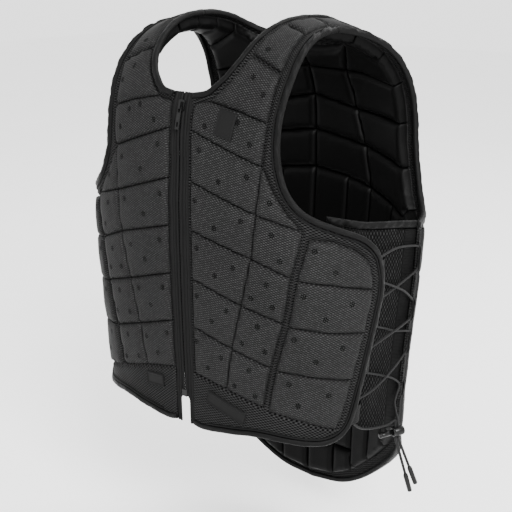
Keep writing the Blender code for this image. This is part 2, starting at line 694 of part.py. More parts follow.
def make_edges(looks):
    """Side panels, their elastic, bindings and webbing."""
    edge, neck = front_lines()
    edge[-1].x = TAPE_WIDTH + GAP
    back = [flat(*point) for point in BACK_EDGE]
    back_neck = [flat(*point) for point in BACK_NECK]
    back[0].y -= SHOULDER_GAP
    front_rings = band(wrap_front, edge, -BINDING_WIDTH, BINDING_PROUD, BINDING_THICK, "level")
    arm_rings = band(wrap_back, back[:13], -BINDING_WIDTH, BINDING_PROUD, BINDING_THICK, "level")
    web_rings = web_sections()
    elastic_gap = EDGE_GAP / QUARTER
    for side, sign in (("left", 1.0), ("right", -1.0)):
        place = (lambda rings: rings) if sign > 0 else flip
        tube_of_sections("front_binding_" + side, place(front_rings), looks["binding"])
        tube_of_sections("back_binding_" + side, place(arm_rings), looks["binding"])
        tube_of_sections("side_binding_" + side, place(top_binding_sections()), looks["binding"])
        drop = (BINDING_WIDTH + EDGE_GAP) / BODY_DROP
        side_sheet("side_mesh_" + side, SIDE[0][0], ELASTIC_START - elastic_gap, 8, looks["side"], sign, drop)
        side_sheet("side_elastic_" + side, ELASTIC_START, SIDE_END, 3, looks["elastic"], sign, drop)
        tube_of_sections("back_web_" + side, place(web_rings), looks["webbing"])
        for number, tab in enumerate(TABS, 1):
            tube_of_sections(f"web_loop_{side}_{number}", place(tab_sections(*tab)), looks["webbing"])
    tail = [*back[15:], *(Vector((-point.x, point.y)) for point in reversed(back[15:-1]))]
    corner = offset_line(back, -BINDING_WIDTH)[15].y
    tail_rings = band(wrap_back, tail, -BINDING_WIDTH, BINDING_PROUD, BINDING_THICK, corner)
    tube_of_sections("tail_binding", tail_rings, looks["binding"])
    front_neck = band(wrap_front, [Vector((TAPE_WIDTH + GAP, neck[0].y)), *neck[1:-1]], -BINDING_WIDTH,
                      BINDING_PROUD, BINDING_THICK)
    rear = [*reversed(back_neck), *(Vector((-point.x, point.y)) for point in back_neck[1:])]
    rear_neck = band(wrap_back, rear, BINDING_WIDTH, BINDING_PROUD, BINDING_THICK, "level")
    rings = [*front_neck, *rear_neck, *reversed(flip(front_neck))]
    tube_of_sections("neck_binding", rings, looks["binding"])


# Zip

def strip_sections(inner, outer, levels, depth, thick):
    """Corner rings of a strip that runs down the front. Inner and outer are pattern distances."""
    sections = []
    for level, near in zip(levels, inner):
        sections.append([wrap(place / QUARTER, level, height) for place, height in (
            (near, depth - thick), (near, depth), (outer, depth), (outer, depth - thick))])
    return sections


def make_zip(looks):
    """Zip tapes, chain, bottom box, slider and pull."""
    top = FRONT_NECK[0][1]
    body = list(np.linspace(0.20, ZIP_BOTTOM, 12))
    levels = [top, 0.26, *body, ZIP_BOTTOM - 0.004, FRONT_EDGE[-1][1]]
    inner = [0.0004] * (len(levels) - 2) + [SLIT_HALF_WIDTH] * 2
    rings = strip_sections(inner, TAPE_WIDTH, levels, -TAPE_INSET, TAPE_THICK)
    tube_of_sections("zip_tape_left", rings, looks["tape"])
    tube_of_sections("zip_tape_right", flip(rings), looks["tape"])
    behind = -TAPE_INSET - TAPE_THICK - GAP
    chain = []
    for level in [top - 0.01, 0.24, *body[1:]]:
        half = CHAIN_WIDTH / 2.0 / QUARTER
        chain.append([wrap(place, level, depth) for place, depth in (
            (-half, behind - CHAIN_THICK), (-half, behind), (half, behind), (half, behind - CHAIN_THICK))])
    tube_of_sections("zip_chain", chain, looks["coil"])
    make_slider(looks)


def surface_matrix(girth, level, depth):
    """Frame on the body surface: X across, Y up the surface, Z outward."""
    origin = Vector(wrap(girth, level, depth))
    outward = (Vector(wrap(girth, level, depth + 0.01)) - origin).normalized()
    up = (Vector(wrap(girth, level + 0.02, depth)) - Vector(wrap(girth, level - 0.02, depth))).normalized()
    across = up.cross(outward).normalized()
    up = outward.cross(across)
    matrix = Matrix((across, up, outward)).transposed().to_4x4()
    matrix.translation = origin
    return matrix


def box(bm, size, centre):
    """Add a box to a bmesh."""
    made = bmesh.ops.create_cube(bm, size=1.0)["verts"]
    bmesh.ops.scale(bm, vec=size, verts=made)
    bmesh.ops.translate(bm, vec=centre, verts=made)
    return made


def cylinder(bm, radius, length, centre, axis, sides=16):
    """Add a closed cylinder along an axis to a bmesh."""
    made = bmesh.ops.create_cone(bm, cap_ends=True, segments=sides, radius1=radius, radius2=radius,
                                 depth=length)["verts"]
    turn = Vector((0.0, 0.0, 1.0)).rotation_difference(Vector(axis)).to_matrix()
    bmesh.ops.rotate(bm, cent=(0.0, 0.0, 0.0), matrix=turn, verts=made)
    bmesh.ops.translate(bm, vec=centre, verts=made)
    return made


def hidden_tool(bm, name, matrix):
    """Object that only cuts or joins."""
    mesh = bpy.data.meshes.new(name)
    bm.to_mesh(mesh)
    bm.free()
    tool = bpy.data.objects.new(name, mesh)
    bpy.context.collection.objects.link(tool)
    tool.matrix_world = matrix
    tool.hide_render = True
    tool.display_type = "WIRE"
    return tool


def combine(obj, tool, operation):
    """Boolean with an exact solver."""
    modifier = obj.modifiers.new(tool.name, "BOOLEAN")
    modifier.operation = operation
    modifier.object = tool


def make_slider(looks):
    """Slider with its crown, and the pull that turns on a bar through the crown."""
    base = surface_matrix(0.0, SLIDER_LEVEL, -TAPE_INSET + GAP)
    bm = bmesh.new()
    box(bm, (SLIDER_WIDTH, SLIDER_HEIGHT, SLIDER_PLATE), (0.0, 0.0, SLIDER_PLATE / 2.0))
    edges = [edge for edge in bm.edges if abs(edge.verts[0].co.z - edge.verts[1].co.z) > 0.001]
    bmesh.ops.bevel(bm, geom=edges, offset=0.0022, segments=3, profile=0.5, affect="EDGES")
    slider = add_object("zip_slider", bm, looks["metal"])
    slider.matrix_world = base
    bm = bmesh.new()
    middle = (SLIDER_PLATE + CROWN_HEIGHT) / 2.0
    box(bm, (CROWN_WIDTH, SLIDER_HEIGHT * 0.62, CROWN_HEIGHT - SLIDER_PLATE + 0.0006), (0.0, 0.0, middle - 0.0003))
    combine(slider, hidden_tool(bm, "crown", base), "UNION")
    pivot_height = SLIDER_PLATE + PIVOT_RADIUS + PIVOT_CLEARANCE + 0.0001
    pivot = (0.0, -SLIDER_HEIGHT * 0.12, pivot_height)
    bm = bmesh.new()
    cylinder(bm, PIVOT_RADIUS + PIVOT_CLEARANCE, CROWN_WIDTH * 2.0, pivot, (1.0, 0.0, 0.0))
    combine(slider, hidden_tool(bm, "crown_hole", base), "DIFFERENCE")
    hinge = base @ Matrix.Translation(pivot)
    reach = CROWN_WIDTH / 2.0 + 0.0005
    arm = 0.0010
    bm = bmesh.new()
    cylinder(bm, PIVOT_RADIUS, 2.0 * (reach + arm * 0.7), (0.0, 0.0, 0.0), (1.0, 0.0, 0.0))
    pull = add_object("zip_pull", bm, looks["metal"])
    pull.matrix_world = hinge
    bm = bmesh.new()
    for side in (-1.0, 1.0):
        box(bm, (arm, 0.0070, 0.0013), (side * (reach + arm / 2.0), -0.0032, 0.0))
    combine(pull, hidden_tool(bm, "pull_arms", hinge), "UNION")
    bm = bmesh.new()
    box(bm, (PULL_WIDTH, PULL_LENGTH - 0.0062, PULL_THICK), (0.0, -0.0062 - (PULL_LENGTH - 0.0062) / 2.0, 0.0))
    combine(pull, hidden_tool(bm, "pull_tab", hinge), "UNION")
    bm = bmesh.new()
    box(bm, (PULL_WIDTH * 0.42, PULL_LENGTH * 0.20, PULL_THICK * 3.0), (0.0, -PULL_LENGTH * 0.78, 0.0))
    combine(pull, hidden_tool(bm, "pull_window", hinge), "DIFFERENCE")
    bottom = surface_matrix(0.0, ZIP_BOTTOM + 0.004, -TAPE_INSET + GAP)
    bm = bmesh.new()
    box(bm, (ZIP_BOX_WIDTH, ZIP_BOX_HEIGHT, ZIP_BOX_THICK), (0.0, 0.0, ZIP_BOX_THICK / 2.0))
    bmesh.ops.bevel(bm, geom=bm.edges[:], offset=0.0005, segments=1, profile=0.5, affect="EDGES")
    stop = add_object("zip_box", bm, looks["plastic"])
    stop.matrix_world = bottom


# Bare patches

def make_patches(looks):
    """Bare patch on the chest and two bare labels low on the front."""
    for name, share, level, width, height, turn in PATCHES:
        centre = flat(share, level) if share >= 0.0 else Vector((share * QUARTER, level * BODY_DROP))
        cosine, sine = math.cos(math.radians(turn)), math.sin(math.radians(turn))
        low = EDGE_GAP if name == "chest_patch" else EDGE_GAP - SHEET_INSET
        sections = []
        for step in range(PATCH_ROWS + 1):
            across = (step / PATCH_ROWS - 0.5) * width
            ring = []
            for up, depth in ((-0.5, low), (0.5, low), (0.5, low + PATCH_THICK), (-0.5, low + PATCH_THICK)):
                x = centre.x + across * cosine - up * height * sine
                y = centre.y + across * sine + up * height * cosine
                ring.append(wrap_front(x, y, depth))
            sections.append(ring)
        tube_of_sections(name, sections, looks["label"])


# Laces and cord locks

def lace_points():
    """Points along the lace of the left side."""
    tunnel = -SHEET_INSET + EDGE_GAP + LACE_RADIUS + LACE_CLEARANCE / 2.0
    route = []
    for girth, level, height in LACE:
        depth = tunnel if height is None else side_value(girth, 1) + height + LACE_CLEARANCE
        route.append(Vector(wrap(girth, level, depth)))
    for place in (-1.0, 1.0):
        start = lock_centre() + LOCK_AXIS * CORD_SPREAD * place
        ends = [start + LOCK_DOWN * height for height in (-0.0140, -0.0080, LOCK_END)]
        route = [*reversed(ends), *route] if place < 0.0 else [*route, *ends]
    return route


def smooth_line(route, spacing):
    """Evenly spaced points on a Catmull-Rom curve through the route."""
    dense = []
    padded = [2.0 * route[0] - route[1], *route, 2.0 * route[-1] - route[-2]]
    for index in range(1, len(padded) - 2):
        a, b, c, d = padded[index - 1:index + 3]
        for step in range(12):
            t = step / 12.0
            dense.append(0.5 * (2.0 * b + (c - a) * t + (2.0 * a - 5.0 * b + 4.0 * c - d) * t * t
                                + (3.0 * b - a - 3.0 * c + d) * t ** 3))
    dense.append(route[-1])
    length = np.concatenate([[0.0], np.cumsum([(q - p).length for p, q in zip(dense, dense[1:])])])
    count = max(int(round(length[-1] / spacing)), 2)
    places = np.linspace(0.0, length[-1], count + 1)
    columns = [np.interp(places, length, [point[axis] for point in dense]) for axis in range(3)]
    return [Vector(point) for point in zip(*columns)]


def cord(name, points, radius, look):
    """Round cord as a bevelled curve with filled ends."""
    curve = bpy.data.curves.new(name, "CURVE")
    curve.dimensions = "3D"
    curve.bevel_depth = radius
    curve.bevel_resolution = 2
    curve.use_fill_caps = True
    spline = curve.splines.new("POLY")
    spline.points.add(len(points) - 1)
    for place, point in zip(spline.points, points):
        place.co = (*point, 1.0)
    curve.materials.append(look)
    obj = bpy.data.objects.new(name, curve)
    bpy.context.collection.objects.link(obj)
    return obj


def lock_centre():
    """Middle of the cords' hole in the left cord lock."""
    return Vector(wrap(*LOCK_PLACE))


def lock_frame():
    """Frame of the left cord lock: X along the plunger, Z up along the cords."""
    across = (-LOCK_DOWN).cross(LOCK_AXIS)
    matrix = Matrix((LOCK_AXIS, across, -LOCK_DOWN)).transposed().to_4x4()
    matrix.translation = lock_centre()
    return matrix


def flip_matrix(matrix):
    """The same frame mirrored to the wearer's right, still right-handed."""
    mirror = Matrix.Diagonal((-1.0, 1.0, 1.0, 1.0))
    return mirror @ matrix @ Matrix.Diagonal((1.0, -1.0, 1.0, 1.0))


def make_lock(side, sign, looks):
    """Body and spring plunger of one cord lock."""
    frame = lock_frame() if sign > 0 else flip_matrix(lock_frame())
    slot = 2.0 * CORD_SPREAD + 2.0 * CORD_RADIUS + 2.0 * GAP
    back = -slot / 2.0 - LOCK_WALL - PLUNGER_TRAVEL - GAP - LOCK_WALL
    front = slot / 2.0 + PLUNGER_TRAVEL
    width = 2.0 * (CORD_RADIUS + GAP)
    bm = bmesh.new()
    cylinder(bm, LOCK_RADIUS, front - back, ((front + back) / 2.0, 0.0, 0.0), (1.0, 0.0, 0.0))
    rims = [edge for edge in bm.edges if abs(edge.verts[0].co.x - edge.verts[1].co.x) < 1e-6]
    bmesh.ops.bevel(bm, geom=rims, offset=0.0010, segments=1, profile=0.5, affect="EDGES")
    body = add_object("lock_body_" + side, bm, looks["plastic"])
    body.matrix_world = frame
    bm = bmesh.new()
    bore = front - back - LOCK_WALL + 0.002
    cylinder(bm, PLUNGER_RADIUS + PLUNGER_FIT, bore, (back + LOCK_WALL + bore / 2.0, 0.0, 0.0), (1.0, 0.0, 0.0))
    combine(body, hidden_tool(bm, "lock_bore_" + side, frame), "DIFFERENCE")
    bm = bmesh.new()
    box(bm, (slot, width, LOCK_RADIUS * 3.0), (0.0, 0.0, 0.0))
    combine(body, hidden_tool(bm, "lock_hole_" + side, frame), "DIFFERENCE")
    inner = -slot / 2.0 - LOCK_WALL
    length = front + PLUNGER_REACH - inner
    bm = bmesh.new()
    cylinder(bm, PLUNGER_RADIUS, length, (inner + length / 2.0, 0.0, 0.0), (1.0, 0.0, 0.0))
    rims = [edge for edge in bm.edges if abs(edge.verts[0].co.x - edge.verts[1].co.x) < 1e-6
            and edge.verts[0].co.x > 0.0]
    bmesh.ops.bevel(bm, geom=rims, offset=0.0006, segments=1, profile=0.5, affect="EDGES")
    plunger = add_object("lock_plunger_" + side, bm, looks["plastic"])
    plunger.matrix_world = frame
    bm = bmesh.new()
    box(bm, (slot + PLUNGER_TRAVEL, width, PLUNGER_RADIUS * 3.0), (PLUNGER_TRAVEL / 2.0, 0.0, 0.0))
    combine(plunger, hidden_tool(bm, "plunger_slot_" + side, frame), "DIFFERENCE")


def cord_end_routes():
    """Routes of the two free cord ends of the left side, from under the lock."""
    routes = []
    for place, out, length in zip((1.0, -1.0), CORD_OUT, CORD_LENGTHS):
        start = lock_centre() + LOCK_AXIS * CORD_SPREAD * place + LOCK_DOWN * (LOCK_END + GAP)
        bend = start + LOCK_DOWN * 0.004
        way = Vector(out).normalized()
        routes.append([start, bend, bend + way * 0.008, bend + way * (length - 0.004)])
    return routes


def make_cord_ends(side, sign, looks):
    """Free cord ends of one lock, each with its tip."""
    for number, route in enumerate(cord_end_routes(), 1):
        points = [Vector((sign * point.x, point.y, point.z)) for point in smooth_line(route, CORD_SPACING)]
        cord(f"cord_end_{side}_{number}", points, CORD_RADIUS, looks["cord"])
        along = (points[-1] - points[-2]).normalized()
        centre = points[-1] + along * (GAP + TIP_LENGTH / 2.0)
        bm = bmesh.new()
        cylinder(bm, TIP_RADIUS, TIP_LENGTH, (0.0, 0.0, 0.0), (0.0, 0.0, 1.0), 12)
        tip = add_object(f"cord_tip_{side}_{number}", bm, looks["plastic"])
        tip.matrix_world = Matrix.Translation(centre) @ Vector((0.0, 0.0, 1.0)).rotation_difference(
            along).to_matrix().to_4x4()


def remove_startup_objects():
    """Empty the scene."""
    for obj in list(bpy.data.objects):
        bpy.data.objects.remove(obj)


def make_looks():
    """Materials of the part."""
    return {
        "mesh": material("mesh_cloth", (0.030, 0.030, 0.031), 0.72),
        "side": material("side_mesh", (0.020, 0.020, 0.021), 0.78),
        "elastic": material("ribbed_elastic", (0.016, 0.016, 0.017), 0.80),
        "binding": material("satin_binding", (0.035, 0.035, 0.036), 0.48),
        "tape": material("zip_tape", (0.018, 0.018, 0.019), 0.62),
        "coil": material("zip_coil", (0.012, 0.012, 0.013), 0.40),
        "metal": material("zip_metal", (0.060, 0.060, 0.063), 0.35, 0.85),
        "label": material("bare_label", (0.012, 0.012, 0.013), 0.55),
        "webbing": material("webbing", (0.022, 0.022, 0.023), 0.66),
        "cord": material("cord", (0.020, 0.020, 0.021), 0.60),
        "plastic": material("lock_plastic", (0.014, 0.014, 0.015), 0.32),
    }


def main():
    """Build every piece."""
    remove_startup_objects()
    looks = make_looks()
    make_front_panels(looks)
    make_back_panel(looks)
    make_edges(looks)
    make_zip(looks)
    make_patches(looks)
    for side, sign in (("left", 1.0), ("right", -1.0)):
        line = [Vector((sign * point.x, point.y, point.z)) for point in smooth_line(lace_points(), LACE_SPACING)]
        cord("lace_" + side, line, LACE_RADIUS, looks["cord"])
        make_lock(side, sign, looks)
        make_cord_ends(side, sign, looks)


main()
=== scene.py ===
"""Riding body protector: foam-block panels, bindings, zip, side lacing and their finishes.

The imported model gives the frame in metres. The front faces -Y and +X is the wearer's left.
Panels are drawn flat, as sewing patterns, and wrapped onto the same body surface as the model.
"""
import logging
import math
from collections.abc import Callable, Iterable, Sequence
from dataclasses import dataclass, field
from enum import Enum
from functools import cached_property

import bmesh
import bpy
import numpy as np
from mathutils import Matrix, Vector, noise


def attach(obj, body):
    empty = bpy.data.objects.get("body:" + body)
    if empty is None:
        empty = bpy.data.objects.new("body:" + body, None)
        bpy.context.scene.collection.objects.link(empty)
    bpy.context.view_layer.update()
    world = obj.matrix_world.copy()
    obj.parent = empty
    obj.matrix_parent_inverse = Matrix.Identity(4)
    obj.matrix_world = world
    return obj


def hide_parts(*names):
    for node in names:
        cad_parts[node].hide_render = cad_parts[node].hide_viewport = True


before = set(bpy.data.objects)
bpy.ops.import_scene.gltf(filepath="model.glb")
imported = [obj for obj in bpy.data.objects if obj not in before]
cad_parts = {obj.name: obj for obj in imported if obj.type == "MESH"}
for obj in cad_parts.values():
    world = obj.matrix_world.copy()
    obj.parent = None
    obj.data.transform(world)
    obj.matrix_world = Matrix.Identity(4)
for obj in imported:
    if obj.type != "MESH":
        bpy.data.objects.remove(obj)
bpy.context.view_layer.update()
LOG = logging.getLogger("body_protector")
Array = np.ndarray
Mapper = Callable[[Array, Array, Array], Array]
Pair = tuple[float, float]
Triple = tuple[float, float, float]


class Side(Enum):
    """Side of the wearer, with the sign of X there."""

    LEFT = 1.0
    RIGHT = -1.0

    @property
    def word(self) -> str:
        """Lower-case name used in piece names."""
        return self.name.lower()

    def place(self, mesh: bpy.types.Mesh) -> bpy.types.Mesh:
        """Copy, on this side, of a mesh made for the wearer's left."""
        return mesh.copy() if self is Side.LEFT else mirrored(mesh)


# Body surface and pattern tables


@dataclass(frozen=True)
class TorsoForm:
    """Outer body surface that the panels are wrapped onto."""

    front_half_width: float = 0.202
    back_half_width: float = 0.196
    front_depth: float = 0.1385
    back_depth: float = 0.1285
    drop: float = 0.305
    rise: float = 0.1430
    arch_length: float = 0.2185
    slope: float = 0.30
    neck_half_width: float = 0.078
    power: float = 2.8
    arch_power: float = 2.35
    arch_centre: float = -0.011
    blend: float = 0.30
    pad: float = 0.020
    sections: tuple[tuple[float, ...], ...] = (
        (0.000, 0.945, 0.967, 0.980, 0.993),
        (-0.152, 0.982, 0.995, 1.000, 1.000),
        (-0.274, 1.000, 1.000, 1.000, 0.986),
        (-0.457, 0.991, 0.986, 0.993, 0.964),
        (-0.640, 0.963, 0.957, 0.980, 0.942),
        (-0.793, 0.940, 0.934, 0.966, 0.935),
        (-0.945, 0.922, 0.915, 0.960, 0.932),
        (-1.189, 0.908, 0.900, 0.940, 0.930),
        (-1.616, 0.885, 0.872, 0.913, 0.935),
    )

    @staticmethod
    def arc(width: float, depth: float, power: float) -> tuple[Array, Array, float]:
        """Angles of a quarter superellipse, the share of its length at each, and that length."""
        angle = np.linspace(0.0, math.pi / 2.0, 2001)
        x = width * np.sin(angle) ** (2.0 / power)
        y = depth * np.cos(angle) ** (2.0 / power)
        length = np.concatenate([[0.0], np.cumsum(np.hypot(np.diff(x), np.diff(y)))])
        return angle, length / length[-1], float(length[-1])

    @cached_property
    def front_arc(self) -> tuple[Array, Array, float]:
        """Quarter arc of the front."""
        return self.arc(self.front_half_width, self.front_depth, self.power)

    @cached_property
    def back_arc(self) -> tuple[Array, Array, float]:
        """Quarter arc of the back."""
        return self.arc(self.back_half_width, self.back_depth, self.power)

    @cached_property
    def arch_arc(self) -> tuple[Array, Array, float]:
        """Quarter arc of the shoulder arch."""
        return self.arc(1.0, 1.0, self.arch_power)

    @cached_property
    def columns(self) -> Array:
        """Section table by column, lowest level first."""
        return np.array(self.sections)[::-1].T

    @property
    def quarter(self) -> float:
        """Quarter girth in metres."""
        return self.front_arc[2]

    def surface(self, girth: Array, level: Array) -> Array:
        """Points of the surface.

        Args:
            girth: 0 front middle, 1 side, 2 back middle, negative on the wearer's right.
            level: 0 chest line, -1 one drop lower, 1 top of the shoulder arch.

        Returns:
            Points in metres.
        """
        girth, level = np.broadcast_arrays(np.asarray(girth, float), np.asarray(level, float))
        around = np.abs(girth)
        front = around <= 1.0
        angle = np.where(
            front,
            np.interp(around, self.front_arc[1], self.front_arc[0]),
            np.interp(2.0 - around, self.back_arc[1], self.back_arc[0]),
        )
        sine, cosine = np.sin(angle), np.maximum(np.cos(angle), 0.0)
        low = np.minimum(level, 0.0)
        rows = self.columns
        wide_f, wide_b, deep_f, deep_b = (np.interp(low, rows[0], row) for row in rows[1:])
        mix = 0.5 + 0.5 * np.clip(np.where(front, cosine, -cosine) / self.blend, -1.0, 1.0)
        width = mix * wide_f * self.front_half_width + (1.0 - mix) * wide_b * self.back_half_width
        x = np.sign(girth) * width * sine ** (2.0 / self.power)
        depth = np.where(front, -deep_f * self.front_depth, deep_b * self.back_depth)
        y = depth * cosine ** (2.0 / self.power)
        turn = np.interp(np.clip(level, 0.0, 1.0), self.arch_arc[1], self.arch_arc[0])
        over = np.clip(np.abs(x) - self.neck_half_width, 0.0, None)
        z = self.pad + 0.002 - self.rise + low * self.drop
        z = z + (self.rise - self.slope * over) * np.sin(turn) ** (2.0 / self.arch_power)
        folded = np.maximum(np.cos(turn), 0.0) ** (2.0 / self.arch_power)
        bent = self.arch_centre + (y - self.arch_centre) * folded
        return np.stack([x, np.where(level > 0.0, bent, y), z], -1)

    def wrap(self, girth: Array, level: Array, depth: Array) -> Array:
        """Points moved out from the surface by depth along its normal."""
        step = 0.006
        girth, level = np.asarray(girth, float), np.asarray(level, float)
        along = self.surface(girth + step, level) - self.surface(girth - step, level)
        up = self.surface(girth, np.minimum(level + step, 1.0)) - self.surface(girth, level - step)
        normal = np.cross(along, up)
        normal /= np.linalg.norm(normal, axis=-1, keepdims=True)
        return self.surface(girth, level) + normal * np.asarray(depth, float)[..., None]

    def level(self, y: Array) -> Array:
        """Level of a pattern height."""
        return np.where(y < 0.0, y / self.drop, y / self.arch_length)

    def front(self, x: Array, y: Array, depth: Array) -> Array:
        """Wrap pattern points onto the front."""
        return self.wrap(x / self.quarter, self.level(y), depth)

    def back(self, x: Array, y: Array, depth: Array) -> Array:
        """Wrap pattern points onto the back. A negative x is on the wearer's right."""
        girth = np.where(x < 0.0, -2.0 - x / self.quarter, 2.0 - x / self.quarter)
        return self.wrap(girth, self.level(y), depth)

    def flat(self, table: Iterable[Sequence[float]]) -> Array:
        """Pattern points in metres of rows of share and level."""
        rows = np.array([row[:2] for row in table], float)
        height = np.where(rows[:, 1] < 0.0, self.drop, self.arch_length)
        return np.stack([rows[:, 0] * self.quarter, rows[:, 1] * height], -1)


TORSO = TorsoForm()


@dataclass(frozen=True)
class EdgeSizes:
    """Borders between the blocks and the bound edges."""

    binding: float = 0.0080
    tape: float = 0.0066
    binding_proud: float = 0.0006
    binding_thick: float = 0.0066
    border: float = 0.0085
    neck_border: float = 0.0035
    sheet_inset: float = 0.0020
    gap: float = 0.0009


EDGES = EdgeSizes()


# Lines


def offset_line(points: Array, distance: float) -> Array:
    """Move an open line to its left by a distance, with mitred corners."""
    step = np.diff(points, axis=0)
    step /= np.linalg.norm(step, axis=1, keepdims=True)
    normal = np.stack([-step[:, 1], step[:, 0]], -1)
    first = np.vstack([normal[:1], normal])
    second = np.vstack([normal, normal[-1:]])
    middle = first + second
    middle /= np.linalg.norm(middle, axis=1, keepdims=True)
    stretch = 1.0 / np.maximum((middle * first).sum(1), 0.6)
    return points + middle * distance * stretch[:, None]


def smooth_line(points: Array, spacing: float) -> Array:
    """Evenly spaced points on a Catmull-Rom curve through an open line of points."""
    points = np.asarray(points, float)
    padded = np.vstack([2.0 * points[0] - points[1], points, 2.0 * points[-1] - points[-2]])
    dense = []
    for a, b, c, d in zip(padded, padded[1:], padded[2:], padded[3:]):
        for t in np.linspace(0.0, 1.0, 12, endpoint=False):
            dense.append(0.5 * (2.0 * b + (c - a) * t + (2.0 * a - 5.0 * b + 4.0 * c - d) * t * t
                                + (3.0 * b - a - 3.0 * c + d) * t ** 3))
    dense = np.array([*dense, points[-1]])
    length = np.concatenate([[0.0], np.cumsum(np.linalg.norm(np.diff(dense, axis=0), axis=1))])
    places = np.linspace(0.0, length[-1], max(int(round(length[-1] / spacing)), 2) + 1)
    return np.stack([np.interp(places, length, column) for column in dense.T], -1)


def line_length(points: Array) -> Array:
    """Length along a line at each of its points."""
    return np.concatenate([[0.0], np.cumsum(np.linalg.norm(np.diff(points, axis=0), axis=1))])


def rounded(points: Array, radius: float, spacing: float = 0.005) -> Array:
    """Closed outline with rounded corners and short sides.

    Args:
        points: Corners in order.
        radius: Radius of a sharp corner. A shallow corner gets a much larger one.
        spacing: Longest side of the result.

    Returns:
        Points of the outline.
    """
    clean = [p for index, p in enumerate(points) if np.linalg.norm(p - points[index - 1]) > 1e-4]
    made: list[Array] = []
    count = len(clean)
    for index, corner in enumerate(clean):
        before, after = clean[index - 1], clean[(index + 1) % count]
        back, ahead = before - corner, after - corner
        reach = min(np.linalg.norm(back), np.linalg.norm(ahead)) * 0.45
        cosine = back @ ahead / np.linalg.norm(back) / np.linalg.norm(ahead)
        turn = math.pi - math.acos(np.clip(cosine, -1, 1))
        wide = radius if turn > 0.6 else radius * 12.0
        cut = min(wide * math.tan(max(turn, 0.02) / 2.0), reach)
        start = corner + back / np.linalg.norm(back) * cut
        end = corner + ahead / np.linalg.norm(ahead) * cut
        for t in np.linspace(0.0, 1.0, 5 if turn > 0.6 else 3):
            made.append((1 - t) ** 2 * start + 2 * t * (1 - t) * corner + t * t * end)
    result: list[Array] = []
    for first, second in zip(made, made[1:] + made[:1]):
        gap = np.linalg.norm(second - first)
        if gap < 2e-4:
            continue
        parts = max(int(math.ceil(gap / spacing)), 1)
        result.extend(first + (second - first) * step / parts for step in range(parts))
    return np.array(result)


def signed_area(points: Array) -> float:
    """Area of an outline, positive when it runs anticlockwise."""
    x, y = points[:, 0], points[:, 1]
    return float(0.5 * np.sum(x * np.roll(y, -1) - y * np.roll(x, -1)))


def distance_to(points: Array, outlines: Sequence[Array]) -> Array:
    """Distance of each pattern point to the nearest outline."""
    starts = np.vstack(outlines)
    ends = np.vstack([np.roll(outline, -1, axis=0) for outline in outlines])
    run = ends - starts
    size = np.maximum((run ** 2).sum(1), 1e-12)
    nearest = np.empty(len(points))
    for low in range(0, len(points), 2000):
        part = points[low:low + 2000, None, :] - starts[None]
        share = np.clip((part * run[None]).sum(2) / size[None], 0.0, 1.0)
        nearest[low:low + 2000] = np.sqrt(((part - run[None] * share[..., None]) ** 2).sum(2).min(1))
    return nearest


def ease(value: Array, low: float, high: float) -> Array:
    """Smooth step from 0 at low to 1 at high."""
    share = np.clip((np.asarray(value, float) - low) / (high - low), 0.0, 1.0)
    return share * share * (3.0 - 2.0 * share)


# Mesh work


def finish_piece(name: str, mesh: bpy.types.Mesh, look: bpy.types.Material,
                 body: str = "vest", nodes: Sequence[str] = ()) -> bpy.types.Object:
    """Object of a finished mesh, on its body, with its finish.

    Args:
        name: Name of the piece.
        mesh: Mesh in the frame's metres.
        look: Finish.
        body: Body that it rides on.
        nodes: Nodes of the model that it stands for.

    Returns:
        The object.
    """
    mesh.name = name
    mesh.materials.clear()
    mesh.materials.append(look)
    mesh.shade_smooth()
    piece = bpy.data.objects.new(name, mesh)
    bpy.context.scene.collection.objects.link(piece)
    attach(piece, body)
    if nodes:
        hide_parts(*nodes)
    LOG.info("%s: %d faces", name, len(mesh.polygons))
    return piece


def piece_mesh(work: bmesh.types.BMesh) -> bpy.types.Mesh:
    """Mesh of finished mesh work, which is freed."""
    result = bpy.data.meshes.new("piece")
    work.to_mesh(result)
    work.free()
    return result


def mirrored(mesh: bpy.types.Mesh) -> bpy.types.Mesh:
    """Copy of a mesh on the wearer's other side."""
    copy = mesh.copy()
    copy.transform(Matrix.Diagonal((-1.0, 1.0, 1.0, 1.0)))
    copy.flip_normals()
    return copy


